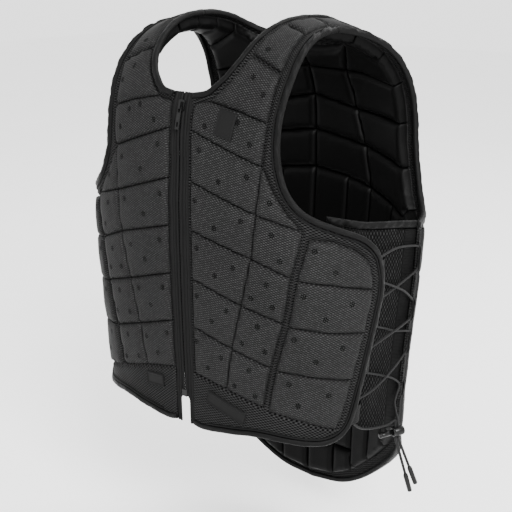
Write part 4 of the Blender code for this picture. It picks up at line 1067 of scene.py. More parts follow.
@dataclass
class BackPanel(PaddedPanel):
    """Left half of the back panel with its tail; the right half is its mirror image."""

    name: str = "back"
    neck: tuple[Pair, ...] = (
        (0.000, 0.560), (0.118, 0.566), (0.196, 0.584), (0.240, 0.630), (0.264, 0.710), (0.276, 0.840),
        (0.269, 1.000),
    )
    edge: tuple[Pair, ...] = (
        (0.448, 1.000), (0.498, 0.830), (0.557, 0.600), (0.594, 0.366), (0.600, 0.250), (0.606, 0.110),
        (0.611, 0.000), (0.618, -0.090), (0.634, -0.160), (0.668, -0.203), (0.715, -0.226), (0.790, -0.236),
        (0.866, -0.240), (0.866, -0.457), (0.866, -0.760), (0.866, -1.040), (0.829, -1.085), (0.720, -1.186),
        (0.618, -1.268), (0.464, -1.378), (0.325, -1.465), (0.186, -1.518), (0.000, -1.537),
    )
    rows: tuple[tuple, ...] = (
        (0.383, (0.207, 0.366)), (0.196, (0.242, 0.132)), (-0.003, (0.295, -0.043)),
        (-0.159, (0.325, -0.207)),
    )
    strips: tuple[Pair, ...] = (
        (0.000, -0.159), (0.186, -0.180), (0.325, -0.207), (0.474, -0.250), (0.570, -0.285),
        (0.680, -0.330), (0.800, -0.345),
    )
    breaks: tuple[float, ...] = (-0.457, -0.747, -1.037, -1.326)

    def mapper(self) -> Mapper:
        """Wrapping of the back."""
        return TORSO.back

    def corners(self) -> list[Array]:
        """Block corners as pattern outlines."""
        edge, neck = TORSO.flat(self.edge), TORSO.flat(self.neck)
        block = offset_line(edge, -EDGES.binding - EDGES.border)
        near = offset_line(neck, -EDGES.binding - EDGES.neck_border)
        block[0, 1], near[-1, 1], block[-1, 0], near[0, 0] = edge[0, 1], neck[-1, 1], 0.0, 0.0
        middle = TORSO.flat([(0.0, row[0]) for row in self.rows])
        seam = TORSO.flat([row[1] for row in self.rows])
        tops = TORSO.flat(self.strips)
        tops[5], tops[6] = block[10], block[12]
        ends = block[[22, 21, 20, 19, 18, 17, 15]]
        blocks = [
            [near[0], middle[0], seam[0], *near[4:0:-1]],
            [near[4], seam[0], block[3], block[2]],
            [near[5], near[4], block[2], block[1]],
            [near[6], near[5], block[1], block[0]],
            [middle[0], middle[1], seam[1], seam[0]],
            [middle[1], middle[2], seam[2], seam[1]],
            [middle[2], tops[0], tops[1], tops[2], seam[2]],
            [seam[0], seam[1], block[5], block[4], block[3]],
            [seam[1], seam[2], block[7], block[6], block[5]],
            [seam[2], tops[2], tops[3], tops[4], block[9], block[8], block[7]],
        ]
        for index in range(6):
            blocks.extend(self.strip(index, tops, ends, block))
        return [np.array(points) for points in blocks]

    def strip(self, index: int, tops: Array, ends: Array, block: Array) -> list[list[Array]]:
        """Blocks of one upright strip."""

        def at(line: int, height: float) -> Array:
            """Point of a strip line at a height."""
            share = (tops[line, 1] - height) / (tops[line, 1] - ends[line, 1])
            return tops[line] + (ends[line] - tops[line]) * min(max(share, 0.0), 1.0)

        low = max(ends[index, 1], ends[index + 1, 1])
        upper = [tops[index], tops[index + 1]]
        extra = {4: [block[9]], 5: [block[11]]}.get(index, [])
        made = []
        for height in (level * TORSO.drop for level in self.breaks if level * TORSO.drop > low + 0.02):
            lower = [at(index, height), at(index + 1, height)]
            made.append([upper[0], lower[0], lower[1], upper[1], *extra])
            upper, extra = lower, []
        tail = [block[16]] if index == 5 else []
        made.append([upper[0], ends[index], *tail, ends[index + 1], upper[1]])
        return made

    def arm_line(self) -> Array:
        """Bound armhole edge from the shoulder to the top of the side edge."""
        return smooth_line(TORSO.flat(self.edge[:13]), 0.0030)

    def tail_line(self) -> Array:
        """Bound tail edge from the foot of the side edge to the middle."""
        return smooth_line(TORSO.flat(self.edge[15:]), 0.0030)

    def neck_line(self) -> Array:
        """Neck edge from the middle to the shoulder."""
        return smooth_line(TORSO.flat(self.neck), 0.0030)

    def outline(self) -> Array:
        """Outline of the left half under its bindings."""
        under = -EDGES.binding * self.under_binding
        arm = offset_line(self.arm_line()[::2], under)
        tail = offset_line(self.tail_line()[::2], under)
        neck = offset_line(self.neck_line()[::2], under)
        arm[0, 1] = neck[-1, 1] = TORSO.arch_length
        side = TORSO.flat(self.edge)[12, 0] - 0.0004
        arm = arm[arm[:, 0] < side - 0.004]
        tail[-1, 0] = neck[0, 0] = 0.0
        tail = tail[tail[:, 0] < side - 0.001]
        corner = np.array([[side, arm[-1, 1]], [side, tail[0, 1]]])
        return np.vstack([neck, arm, corner, tail])


@dataclass
class PanelSet:
    """All three padded panels with their covers, bases, linings and the painted shade of their vents."""

    cover: bpy.types.Material
    border: bpy.types.Material
    lining: bpy.types.Material
    # near-black finish of the vent discs: painted shade of the vent holes
    dark: bpy.types.Material

    def build(self) -> None:
        """Make the pieces of the front panels and of the back panel."""
        for panel in (FrontPanel(), BackPanel()):
            meshes = (panel.shell(False), panel.base(), panel.shell(True), panel.vents())
            if isinstance(panel, BackPanel):
                self.dress("back", [join_meshes([mesh, mirrored(mesh)]) for mesh in meshes], "back_panel")
                continue
            for side in Side:
                self.dress(f"front_{side.word}", [side.place(mesh) for mesh in meshes],
                           f"front_panel_{side.word}")

    def dress(self, name: str, meshes: Sequence[bpy.types.Mesh], node: str) -> None:
        """Add the four pieces of one panel."""
        # the fourth piece is painted shade: dark discs standing for the vent holes
        words = ("cover", "border", "lining", "vents")
        looks = (self.cover, self.border, self.lining, self.dark)
        for word, mesh, look in zip(words, meshes, looks):
            piece = finish_piece(f"{name}_{word}", mesh, look, nodes=[node])
            word in ("cover", "lining")


# Bindings


@dataclass(frozen=True)
class BoundEdge:
    """Pattern line of an edge, with the unit direction into the panel at each station."""

    stations: Array
    inward: Array
    mapper: Mapper

    @classmethod
    def of(cls, stations: Array, mapper: Mapper, *fixed: tuple[int | slice, Pair]) -> "BoundEdge":
        """Edge with the panel on its right, and a fixed direction at some stations."""
        step = np.gradient(stations, axis=0)
        step /= np.linalg.norm(step, axis=1, keepdims=True)
        inward = np.stack([step[:, 1], -step[:, 0]], -1)
        for index, way in fixed:
            inward[index] = way
        return cls(stations, inward, mapper)

    def turned(self, mirror: bool = False, reverse: bool = False) -> "BoundEdge":
        """The same edge on the wearer's other side, or run the other way, or both."""
        way, scale = (-1 if reverse else 1), (-1.0 if mirror else 1.0, 1.0)
        return BoundEdge(self.stations[::way] * scale, self.inward[::way] * scale, self.mapper)

    @cached_property
    def run(self) -> Array:
        """Length along the line at each station."""
        return line_length(self.stations)

    @property
    def index(self) -> Array:
        """Number of each station."""
        return np.arange(len(self.stations))

    def beside(self, spot: Array, reach: Array | float, depth: Array | float) -> Array:
        """Points in space beside the line.

        Args:
            spot: Place along the line, counted in stations.
            reach: Distance into the panel.
            depth: Depth of the panel's face there.

        Returns:
            Points in metres.
        """
        x, y, nx, ny = (np.interp(spot, self.index, column) for column in (*self.stations.T, *self.inward.T))
        return self.mapper(x + nx * reach, y + ny * reach, depth)


@dataclass
class Bindings:
    """Satin tape folded over the edges, with its row of stitches and a roll of cloth beside it."""

    satin: bpy.types.Material
    thread: bpy.types.Material
    edge: bpy.types.Material
    front: FrontPanel = field(default_factory=FrontPanel)
    back: BackPanel = field(default_factory=BackPanel)
    pucker: float = 0.00035
    stitch: float = 0.0024
    stitch_radius: float = 0.00032
    stitch_depth: float = -0.00015
    stitch_share: float = 0.80
    pitch: float = 0.0034
    roll_reach: float = 0.0083

    def ribbon(self, edge: BoundEdge, turns: float,
               twist: Callable[[Array], Array] | None = None) -> bpy.types.Mesh:
        """Folded tape along an edge.

        Args:
            edge: The edge.
            turns: Phase of the puckers.
            twist: Extra pucker along the line, as a factor by length.

        Returns:
            The mesh.
        """
        half_wide, half_thick = EDGES.tape / 2.0, EDGES.binding_thick / 2.0
        middle = EDGES.binding_proud - half_thick

        def place(u: Array, v: Array) -> Array:
            """Points of the tape."""
            spot = u * (len(edge.run) - 1)
            run = np.interp(spot, edge.index, edge.run)
            angle = v * 2.0 * math.pi
            cosine, sine = np.cos(angle), np.sin(angle)
            across = half_wide * (1.0 + np.sign(cosine) * np.abs(cosine) ** 0.62)
            out = half_thick * np.sign(sine) * np.abs(sine) ** 0.75
            more = twist(run) if twist else np.ones_like(run)
            slant = run + across * 2.2
            fold = np.sin(slant * 520.0 + turns) * 0.45 + np.sin(slant * 210.0 + 2.0 * turns) * 0.55
            push = self.pucker * fold * more * np.clip(sine + 0.4, 0.0, 1.0)
            return edge.beside(spot, across, middle + out + push)

        return sheet_mesh(len(edge.run) - 1, 20, place, (float(edge.run[-1]), 0.024), closed=True)

    def stitches(self, edge: BoundEdge) -> bpy.types.Mesh:
        """Row of stitches beside the inner border of a tape."""
        whole = edge.run[-1]
        count = int(whole / self.pitch)
        work = bmesh.new()
        for number in range(1, count):
            ends = whole * number / count + np.array((-0.5, 0.5)) * self.stitch
            spots = np.interp(ends, edge.run, edge.index)
            start, end = map(Vector, edge.beside(spots, EDGES.tape * self.stitch_share, self.stitch_depth))
            way = end - start
            turn = Vector((0.0, 0.0, 1.0)).rotation_difference(way).to_matrix().to_4x4()
            made = bmesh.ops.create_icosphere(work, subdivisions=1, radius=1.0)["verts"]
            bmesh.ops.scale(work, vec=(self.stitch_radius, self.stitch_radius, way.length / 2.0), verts=made)
            bmesh.ops.transform(work, matrix=Matrix.Translation((start + end) / 2.0) @ turn, verts=made)
        return piece_mesh(work)

    def roll(self, edge: BoundEdge) -> bpy.types.Mesh:
        """Thin smooth roll of cloth that runs beside a tape, short of both its ends."""
        part = BoundEdge(edge.stations[3:-8], edge.inward[3:-8], edge.mapper)

        def place(u: Array, v: Array) -> Array:
            """Points of the roll."""
            angle = v * 2.0 * math.pi
            across = self.roll_reach + 0.0011 * np.cos(angle)
            return part.beside(u * (len(part.run) - 1), across, 0.0012 * np.sin(angle) - 0.0014)

        return sheet_mesh(len(part.run) - 1, 10, place, (float(part.run[-1]), 0.0072), closed=True)

    @staticmethod
    def shoulder(run: Array) -> Array:
        """More pucker where the tape turns over the shoulder."""
        return 1.0 + 3.2 * (1.0 - ease(run, 0.03, 0.12)) + 0.8 * (1.0 - ease(run, 0.15, 0.33))

    def sew(self, name: str, tape: bpy.types.Mesh, stitches: bpy.types.Mesh) -> None:
        """Add a tape and its stitches."""
        finish_piece(f"{name}_tape", tape, self.satin, nodes=[name])
        finish_piece(f"{name}_stitches", stitches, self.thread)

    def build(self) -> None:
        """Make every binding and its stitches."""
        front = BoundEdge.of(self.front.edge_line(), TORSO.front, (0, (-1.0, 0.0)))
        arm = BoundEdge.of(self.back.arm_line(), TORSO.back, (0, (-1.0, 0.0)), (slice(-3, None), (0.0, -1.0)))
        made = [
            (word, self.ribbon(edge, turns, self.shoulder), self.stitches(edge), self.roll(edge))
            for word, edge, turns in (("front_binding", front, 0.6), ("back_binding", arm, 1.7))
        ]
        for side in Side:
            for word, tape, stitches, roll in made:
                name = f"{word}_{side.word}"
                self.sew(name, side.place(tape), side.place(stitches))
                finish_piece(f"{name}_roll", side.place(roll), self.edge)
        half = self.back.tail_line()
        tail = BoundEdge.of(np.vstack([half, (half[:-1] * (-1.0, 1.0))[::-1]]), TORSO.back)
        self.sew("tail_binding", self.ribbon(tail, 0.2), self.stitches(tail))
        front = BoundEdge.of(self.front.neck_line(), TORSO.front, (-1, (1.0, 0.0)))
        rear = BoundEdge.of(self.back.neck_line(), TORSO.back, (-1, (1.0, 0.0)), (0, (0.0, -1.0)))
        neck = (front.turned(mirror=True), rear.turned(mirror=True, reverse=True), rear,
                front.turned(reverse=True))
        tapes = [self.ribbon(edge, number) for number, edge in enumerate(neck)]
        self.sew("neck_binding", join_meshes(tapes), join_meshes([self.stitches(edge) for edge in neck]))


# Zip


@dataclass
class ZipFastener:
    """Closed zip with its tapes, hidden coil, slider, pull and bottom box."""

    tape: bpy.types.Material
    coil: bpy.types.Material
    metal: bpy.types.Material
    plastic: bpy.types.Material
    width: float = 0.0140
    tuck: float = 0.0020
    slit: float = 0.0065
    inset: float = 0.0030
    top: float = 0.302
    bottom: float = -0.884
    hem: float = -0.996
    ridges: tuple[tuple[float, float, float, int], ...] = (
        (0.0013, 0.0018, 0.0012, 4), (-0.0009, 0.0042, 0.0007, 2), (0.0005, 0.0064, 0.0011, 4),
        (-0.0007, 0.0086, 0.0006, 2),
    )

    def tape_mesh(self) -> bpy.types.Mesh:
        """Tape of the wearer's left with a folded edge beside the slit."""
        levels = np.linspace(self.top, self.hem, 160)

        def place(u: Array, v: Array) -> Array:
            """Points of the tape."""
            level = np.interp(u, np.linspace(0.0, 1.0, 160), levels)
            split = ease(-level, -self.bottom - 0.01, -self.bottom + 0.02)
            near = 0.0005 + split * (self.slit - 0.0005)
            across = near + (self.width + self.tuck - near) * v
            lift = 0.0006 * np.exp(-(((across - self.width + 0.0026) / 0.0012) ** 4))
            for rise, middle, wide, power in self.ridges:
                lift = lift + rise * np.exp(-(((across - near - middle) / wide) ** power))
            lift = lift * (1.0 - 0.4 * split) + 0.0004 * np.sin(level * 34.0) * ease(v, 0.0, 1.0)
            lift = lift - 0.0009 * ease(across, self.width - 0.0006, self.width + 0.0006)
            return TORSO.wrap(across / TORSO.quarter, level, lift - self.inset)

        length = (self.top * TORSO.arch_length - self.hem * TORSO.drop)
        return sheet_mesh(160, 44, place, (length, self.width + self.tuck), thickness=0.0009)

    def coil_mesh(self) -> bpy.types.Mesh:
        """Row of coil teeth behind the slit."""
        levels = np.linspace(self.top - 0.004, self.bottom + 0.004, 140)

        def spine(u: Array, v: Array) -> Array:
            """Points of the woven core behind the teeth."""
            level = np.interp(u, np.linspace(0.0, 1.0, 140), levels)
            across = (v - 0.5) * 0.0056
            return TORSO.wrap(across / TORSO.quarter, level, np.full_like(u, -self.inset - 0.0022))

        work = bmesh.new()
        work.from_mesh(sheet_mesh(140, 4, spine, (0.33, 0.0056), thickness=0.0004))
        heights = np.arange(self.bottom * TORSO.drop, 0.26 * TORSO.arch_length, 0.0017)
        for number, height in enumerate(heights):
            side = 0.0008 if number % 2 else -0.0008
            spot = TORSO.front(np.array(side), np.array(height), np.array(-self.inset - 0.0016))
            made = bmesh.ops.create_icosphere(work, subdivisions=1, radius=1.0)["verts"]
            bmesh.ops.scale(work, vec=(0.0021, 0.0009, 0.0007), verts=made)
            bmesh.ops.translate(work, vec=spot, verts=made)
        return piece_mesh(work)

    def build(self) -> None:
        """Make the zip's pieces."""
        tape = self.tape_mesh()
        for side in Side:
            finish_piece(f"zip_band_{side.word}", side.place(tape), self.tape,
                         nodes=[f"zip_tape_{side.word}"])
        finish_piece("zip_coil_row", self.coil_mesh(), self.coil, nodes=["zip_chain"])
        for node, look in (("zip_slider", self.metal), ("zip_pull", self.metal), ("zip_box", self.plastic)):
            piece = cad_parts[node]
            piece.data.materials.clear()
            piece.data.materials.append(look)


# Side panels, webbing and lacing


@dataclass
class SidePanels:
    """Open mesh and ribbed elastic of each side, with top binding, web strip and web loops."""

    net: bpy.types.Material
    elastic: bpy.types.Material
    satin: bpy.types.Material
    webbing: bpy.types.Material
    table: tuple[tuple[float, ...], ...] = (
        (0.640, -0.0245, -0.165, -0.945), (0.720, -0.0240, -0.175, -0.950), (0.800, -0.0218, -0.187, -0.955),
        (0.860, -0.0218, -0.198, -0.975), (0.950, -0.0150, -0.209, -1.005), (1.050, -0.0100, -0.222, -1.025),
        (1.134, -0.0030, -0.235, -1.040),
    )
    elastic_start: float = 1.062
    end: float = 1.129
    tabs: tuple[Triple, ...] = (
        (-0.341, -0.409, 0.900), (-0.500, -0.576, 0.896), (-0.692, -0.750, 0.866), (-0.875, -0.933, 0.832),
    )
    slots: tuple[Pair, ...] = ((-0.335, -0.410), (-0.535, -0.600), (-0.660, -0.730), (-0.86, -0.90))
    top_inset: float = 0.029
    seam: float = 0.008
    strip_share: float = 0.866
    strip_width: float = 0.0120
    strip_levels: Pair = (-0.270, -1.030)
    lace_room: float = 0.0034

    def value(self, girth: Array, column: int) -> Array:
        """Value of the table at a girth."""
        rows = np.array(self.table).T
        return np.interp(girth, rows[0], rows[column])

    def sheet(self, start: float, end: float, columns: int, wave: float) -> tuple[bpy.types.Mesh, Pair]:
        """Sheet of cloth between two girths, and its flat size."""
        width = (end - start) * TORSO.quarter
        middle = (start + end) / 2.0
        height = float(self.value(middle, 2) - self.value(middle, 3)) * TORSO.drop - self.seam

        def place(u: Array, v: Array) -> Array:
            """Points of the sheet."""
            girth = start + (end - start) * v
            top, bottom = self.value(girth, 2) - self.top_inset, self.value(girth, 3)
            level = top + (bottom - top) * u
            lift = wave * np.sin(u * 23.0 + v * 3.0) * np.sin(v * math.pi) ** 0.5
            return TORSO.wrap(girth, level, self.value(girth, 1) - 0.0006 + lift)

        return sheet_mesh(70, columns, place, (height, width), thickness=0.0011), (width, height)

    def tape_top(self) -> bpy.types.Mesh:
        """Tape folded over the top of the side."""

        def place(u: Array, v: Array) -> Array:
            """Points of the tape."""
            girth = self.table[0][0] + (self.end - self.table[0][0]) * u
            angle = v * 2.0 * math.pi
            across = 0.0040 * (1.0 - np.sign(np.cos(angle)) * np.abs(np.cos(angle)) ** 0.6)
            out = 0.0019 * np.sign(np.sin(angle)) * np.abs(np.sin(angle)) ** 0.8
            fold = np.sin(u * 70.0 + across * 520.0) * 0.5 + np.sin(u * 31.0 - across * 260.0 + 1.0) * 0.5
            crease = 0.0008 * fold * np.clip(np.sin(angle) + 0.3, 0.0, 1.0)
            depth = self.value(girth, 1) - 0.0013 + out + crease
            return TORSO.wrap(girth, self.value(girth, 2) - across / TORSO.drop, depth)

        return sheet_mesh(110, 16, place, (0.125, 0.022), closed=True)

    def web_strip(self) -> bpy.types.Mesh:
        """Web strip of the back panel's edge, lifted where the lace runs in it."""
        wide, (top, bottom) = self.strip_width, self.strip_levels

        def place(u: Array, v: Array) -> Array:
            """Points of the strip."""
            level = top + (bottom - top) * u
            open_here = np.zeros_like(level)
            for low, high in self.slots:
                starts = ease(-level, -low - 0.012, -low)
                open_here = np.maximum(open_here, starts * (1.0 - ease(-level, -high, -high + 0.012)))
            under = EDGES.gap - EDGES.sheet_inset + self.lace_room
            across = wide * v
            foot = ease(v, 0.0, 0.35)
            drop = 0.0026 * (1.0 - open_here) * (1.0 - ease(v, 0.75, 0.05)) * foot
            depth = -0.0009 + (under + 0.0016) * foot - drop
            bow = 0.0006 * np.sin(u * 75.0) * v
            girth = 2.0 - self.strip_share + (wide - across + bow) / TORSO.quarter
            return TORSO.wrap(girth, level, depth)

        return sheet_mesh(150, 12, place, (0.217, wide), thickness=0.0012)

    def loop(self, top: float, bottom: float, share: float) -> bpy.types.Mesh:
        """Web loop that comes out from under the flap and folds round the lace."""
        start, end = share - 0.042, share + 0.044
        floor = float(self.value(share, 1)) + 0.0012

        def place(u: Array, v: Array) -> Array:
            """Points of the loop."""
            level = top + 0.004 + (bottom - top - 0.008) * u
            upper = v < 0.5
            along = np.where(upper, v / 0.5, (1.0 - v) / 0.5)
            nose = np.sqrt(np.clip(1.0 - along ** 5, 0.0, 1.0))
            roof = -0.0070 - 0.0045 * ease(along, 0.35, 1.0)
            middle = (roof + floor) / 2.0
            depth = middle + (roof - middle) * nose * np.where(upper, 1.0, -1.0)
            girth = start + (end - start) * along
            return TORSO.wrap(girth, level + 0.002 * np.sin(v * 9.0), depth)

        return sheet_mesh(16, 26, place, ((top - bottom) * TORSO.drop, 0.036), thickness=0.0009)

    def build(self) -> None:
        """Make both sides."""
        mesh, mesh_size = self.sheet(self.table[0][0], self.elastic_start - 0.002, 36, 0.0012)
        ribs, ribs_size = self.sheet(self.elastic_start, self.end, 14, 0.0003)
        top, strip = self.tape_top(), self.web_strip()
        loops = [self.loop(*tab) for tab in self.tabs]
        for side in Side:
            word = side.word
            net = finish_piece(f"side_net_{word}", side.place(mesh), self.net,
                               nodes=[f"side_mesh_{word}"])
            band = finish_piece(f"side_ribs_{word}", side.place(ribs), self.elastic,
                                nodes=[f"side_elastic_{word}"])
            finish_piece(f"side_top_{word}", side.place(top), self.satin,
                         nodes=[f"side_binding_{word}"])
            finish_piece(f"web_edge_{word}", side.place(strip), self.webbing,
                         nodes=[f"back_web_{word}"])
            for number, item in enumerate(loops, 1):
                finish_piece(f"loop_{word}_{number}", side.place(item), self.webbing,
                             nodes=[f"web_loop_{word}_{number}"])


@dataclass
class Lacing:
    """Lace of each side, its cord lock and the two free cord ends with their tips."""

    cord: bpy.types.Material
    plastic: bpy.types.Material
    sides: SidePanels
    radius: float = 0.0013
    clearance: float = 0.0008
    end_radius: float = 0.0016
    spread: float = 0.00175
    lock_place: Triple = (1.055, -1.025, 0.0075)
    lock_axis: Triple = (-0.45, -0.89, -0.08)
    lock_radius: float = 0.0056
    lock_end: float = 0.0065
    cord_out: tuple[Triple, ...] = ((0.215, 0.17, -0.96), (0.28, 0.225, -0.933))
    cord_lengths: tuple[float, ...] = (0.0470, 0.0400)
    tip_radius: float = 0.0028
    tip_length: float = 0.0230
    tip_gap: float = 0.0003
    route: tuple[tuple[float, float, float | None], ...] = (
        (1.078, -0.952, 0.0080), (1.094, -0.925, 0.0030), (1.110, -0.898, 0.0018),
        (1.118, -0.862, 0.0018), (1.060, -0.825, 0.0018), (0.960, -0.790, 0.0018), (0.880, -0.764, 0.0026),
        (0.866, -0.740, 0.0040), (0.866, -0.702, 0.0040), (0.890, -0.680, 0.0040), (0.960, -0.650, 0.0046),
        (1.050, -0.625, 0.0050), (1.128, -0.605, 0.0022), (1.147, -0.590, None), (1.147, -0.545, None),
        (1.128, -0.528, 0.0022), (1.050, -0.480, 0.0050), (0.960, -0.440, 0.0042), (0.912, -0.420, 0.0040),
        (0.900, -0.400, 0.0040), (0.900, -0.350, 0.0040), (0.920, -0.330, 0.0036), (1.000, -0.316, 0.0020),
        (1.080, -0.320, 0.0018), (1.128, -0.328, 0.0022), (1.147, -0.345, None), (1.147, -0.400, None),
        (1.128, -0.420, 0.0022), (1.050, -0.452, 0.0016), (0.960, -0.480, 0.0026), (0.908, -0.492, 0.0040),
        (0.896, -0.512, 0.0040), (0.896, -0.565, 0.0040), (0.912, -0.590, 0.0036), (0.980, -0.615, 0.0016),
        (1.050, -0.638, 0.0016), (1.128, -0.652, 0.0022), (1.147, -0.668, None), (1.147, -0.722, None),
        (1.128, -0.740, 0.0022), (1.040, -0.790, 0.0050), (0.940, -0.840, 0.0050), (0.850, -0.868, 0.0050),
        (0.832, -0.886, 0.0052), (0.832, -0.925, 0.0052), (0.845, -0.955, 0.0052), (0.900, -0.988, 0.0040),
        (0.960, -0.998, 0.0060), (1.012, -0.992, 0.0120),
    )

    @cached_property
    def axis(self) -> Array:
        """Direction of the plunger."""
        axis = np.array(self.lock_axis)
        return axis / np.linalg.norm(axis)

    @cached_property
    def down(self) -> Array:
        """Direction of the cords through the lock."""
        way = np.array((0.0, 0.0, -1.0)) + self.axis * self.axis[2]
        return way / np.linalg.norm(way)

    @cached_property
    def centre(self) -> Array:
        """Middle of the cords' hole in the lock."""
        return TORSO.wrap(*self.lock_place)

    def lace_path(self) -> Array:
        """Centre line of the lace."""
        tunnel = EDGES.gap - EDGES.sheet_inset + self.radius + self.clearance / 2.0
        points = []
        for girth, level, height in self.route:
            depth = tunnel if height is None else float(self.sides.value(girth, 1)) + height + self.clearance
            points.append(TORSO.wrap(girth, level, depth))
        for place in (-1.0, 1.0):
            start = self.centre + self.axis * self.spread * place
            ends = [start + self.down * height for height in (-0.0140, -0.0080, self.lock_end)]
            points = [*reversed(ends), *points] if place < 0.0 else [*points, *ends]
        return smooth_line(np.array(points), 0.0022)

    def end_paths(self) -> list[Array]:
        """Centre lines of the two free cord ends."""
        paths = []
        for place, out, length in zip((1.0, -1.0), self.cord_out, self.cord_lengths):
            start = self.centre + self.axis * self.spread * place + self.down * (self.lock_end + 0.0003)
            bend = start + self.down * 0.004
            way = np.array(out) / np.linalg.norm(out)
            points = np.array([start, bend, bend + way * 0.008, bend + way * (length - 0.004)])
            paths.append(smooth_line(points, 0.0015))
        return paths

    def spun(self, profile: Sequence[Pair], origin: Array, axis: Array,
             sides: int = 40) -> bpy.types.Mesh:
        """Turned part.

        Args:
            profile: Distance along the axis and radius of each station, ends on the axis.
            origin: Point of the axis at distance 0.
            axis: Direction of the axis.
            sides: Steps round it.

        Returns:
            The mesh.
        """
        work = bmesh.new()
        verts = [work.verts.new((radius, 0.0, along)) for along, radius in profile]
        edges = [work.edges.new(pair) for pair in zip(verts, verts[1:])]
        bmesh.ops.spin(work, geom=verts + edges, cent=(0.0, 0.0, 0.0), axis=(0.0, 0.0, 1.0),
                       angle=2.0 * math.pi, steps=sides, use_merge=True)
        bmesh.ops.remove_doubles(work, verts=work.verts, dist=1e-6)
        bmesh.ops.recalc_face_normals(work, faces=work.faces)
        turn = Vector((0.0, 0.0, 1.0)).rotation_difference(Vector(axis)).to_matrix().to_4x4()
        bmesh.ops.transform(work, matrix=Matrix.Translation(origin) @ turn, verts=work.verts)
        return piece_mesh(work)

    def build(self) -> None:
        """Make both sides' laces, locks and cord ends."""
        lace = tube_mesh(self.lace_path(), self.radius, 10)
        slot = 2.0 * self.spread + 2.0 * self.end_radius + 0.0006
        back, front = -slot / 2.0 - 0.0048, slot / 2.0 + 0.0025
        r = self.lock_radius
        barrel = self.spun([
            (back, 0.0), (back, r * 0.62), (back + 0.0006, r * 0.84), (back + 0.0018, r * 0.97),
            (back + 0.0034, r), (front - 0.0034, r), (front - 0.0028, r * 0.93), (front - 0.0016, r * 0.93),
            (front - 0.0011, r), (front - 0.0005, r * 0.98), (front, r * 0.90), (front, 0.0034),
            (front - 0.0027, 0.0034), (front - 0.0027, 0.0),
        ], self.centre, self.axis)
        reach = front + 0.0170
        stem = self.spun([
            (front - 0.0001, 0.0), (front - 0.0001, 0.0030), (reach - 0.0040, 0.0030),
            (reach - 0.0034, 0.0026), (reach - 0.0028, 0.0031), (reach - 0.0009, 0.0031),
            (reach - 0.0002, 0.0026), (reach, 0.0018), (reach, 0.0),
        ], self.centre, self.axis, 28)
        for side in Side:
            word = side.word
            finish_piece(f"lace_cord_{word}", side.place(lace), self.cord, nodes=[f"lace_{word}"])
            finish_piece(f"lock_barrel_{word}", side.place(barrel), self.plastic,
                         nodes=[f"lock_body_{word}"])
            finish_piece(f"lock_stem_{word}", side.place(stem), self.plastic,
                         body=f"plunger_{word}", nodes=[f"lock_plunger_{word}"])
            for number, path in enumerate(self.end_paths(), 1):
                self.cord_end(side, number, path)

    def cord_end(self, side: Side, number: int, path: Array) -> None:
        """One free cord end with its moulded tip."""
        along = path[-1] - path[-2]
        along /= np.linalg.norm(along)
        r, length = self.tip_radius, self.tip_length
        tip = self.spun([
            (-0.0002, 0.0), (-0.0002, r * 0.66), (0.0012, r * 0.92), (0.0026, r), (length - 0.0012, r * 0.96),
            (length - 0.0003, r * 0.80), (length, r * 0.5), (length, 0.0),
        ], path[-1] + along * self.tip_gap, along, 20)
        tipped = finish_piece(f"tip_{side.word}_{number}", side.place(tip), self.plastic,
                              nodes=[f"cord_tip_{side.word}_{number}"])
        tube = tube_mesh(path, self.end_radius, 12)
        cord = finish_piece(f"free_end_{side.word}_{number}", side.place(tube), self.cord,
                            nodes=[f"cord_end_{side.word}_{number}"])


# Patches


@dataclass
class Patches:
    """Bare patches, each with a raised rim and a sewn edge."""

    look: bpy.types.Material
    table: tuple[tuple, ...] = (
        ("chest_patch", 0.232, 0.175, 0.0235, 0.0262, -13.0, 0.0019),
        ("label_right", -0.172, -0.862, 0.0300, 0.0150, 3.0, -0.0008),
        ("label_left", 0.222, -0.888, 0.0560, 0.0150, -17.0, -0.0008),
    )

    def patch(self, share: float, level: float, width: float, height: float, turn: float,
              depth: float) -> bpy.types.Mesh:
        """Thin crowned patch with a rim."""
        x, y = share * TORSO.quarter, level * (TORSO.drop if level < 0.0 else TORSO.arch_length)
        cosine, sine = math.cos(math.radians(turn)), math.sin(math.radians(turn))

        def place(u: Array, v: Array) -> Array:
            """Points of the patch."""
            across, up = (u - 0.5) * width, (v - 0.5) * height
            edge = np.minimum(np.minimum(u, 1.0 - u) * width, np.minimum(v, 1.0 - v) * height)
            rim = 0.0009 * np.exp(-(((edge - 0.0011) / 0.0006) ** 2))
            rim = rim - 0.0010 * (1.0 - ease(edge, 0.0, 0.0008))
            return TORSO.front(x + across * cosine - up * sine, y + across * sine + up * cosine, depth + rim)

        return sheet_mesh(56, 40, place, (width, height), thickness=0.0008)

    def build(self) -> None:
        """Make the patches."""
        for name, share, level, width, height, turn, depth in self.table:
            mesh = self.patch(share, level, width, height, turn, depth)
            finish_piece(f"{name}_face", mesh, self.look, nodes=[name])


# Studio


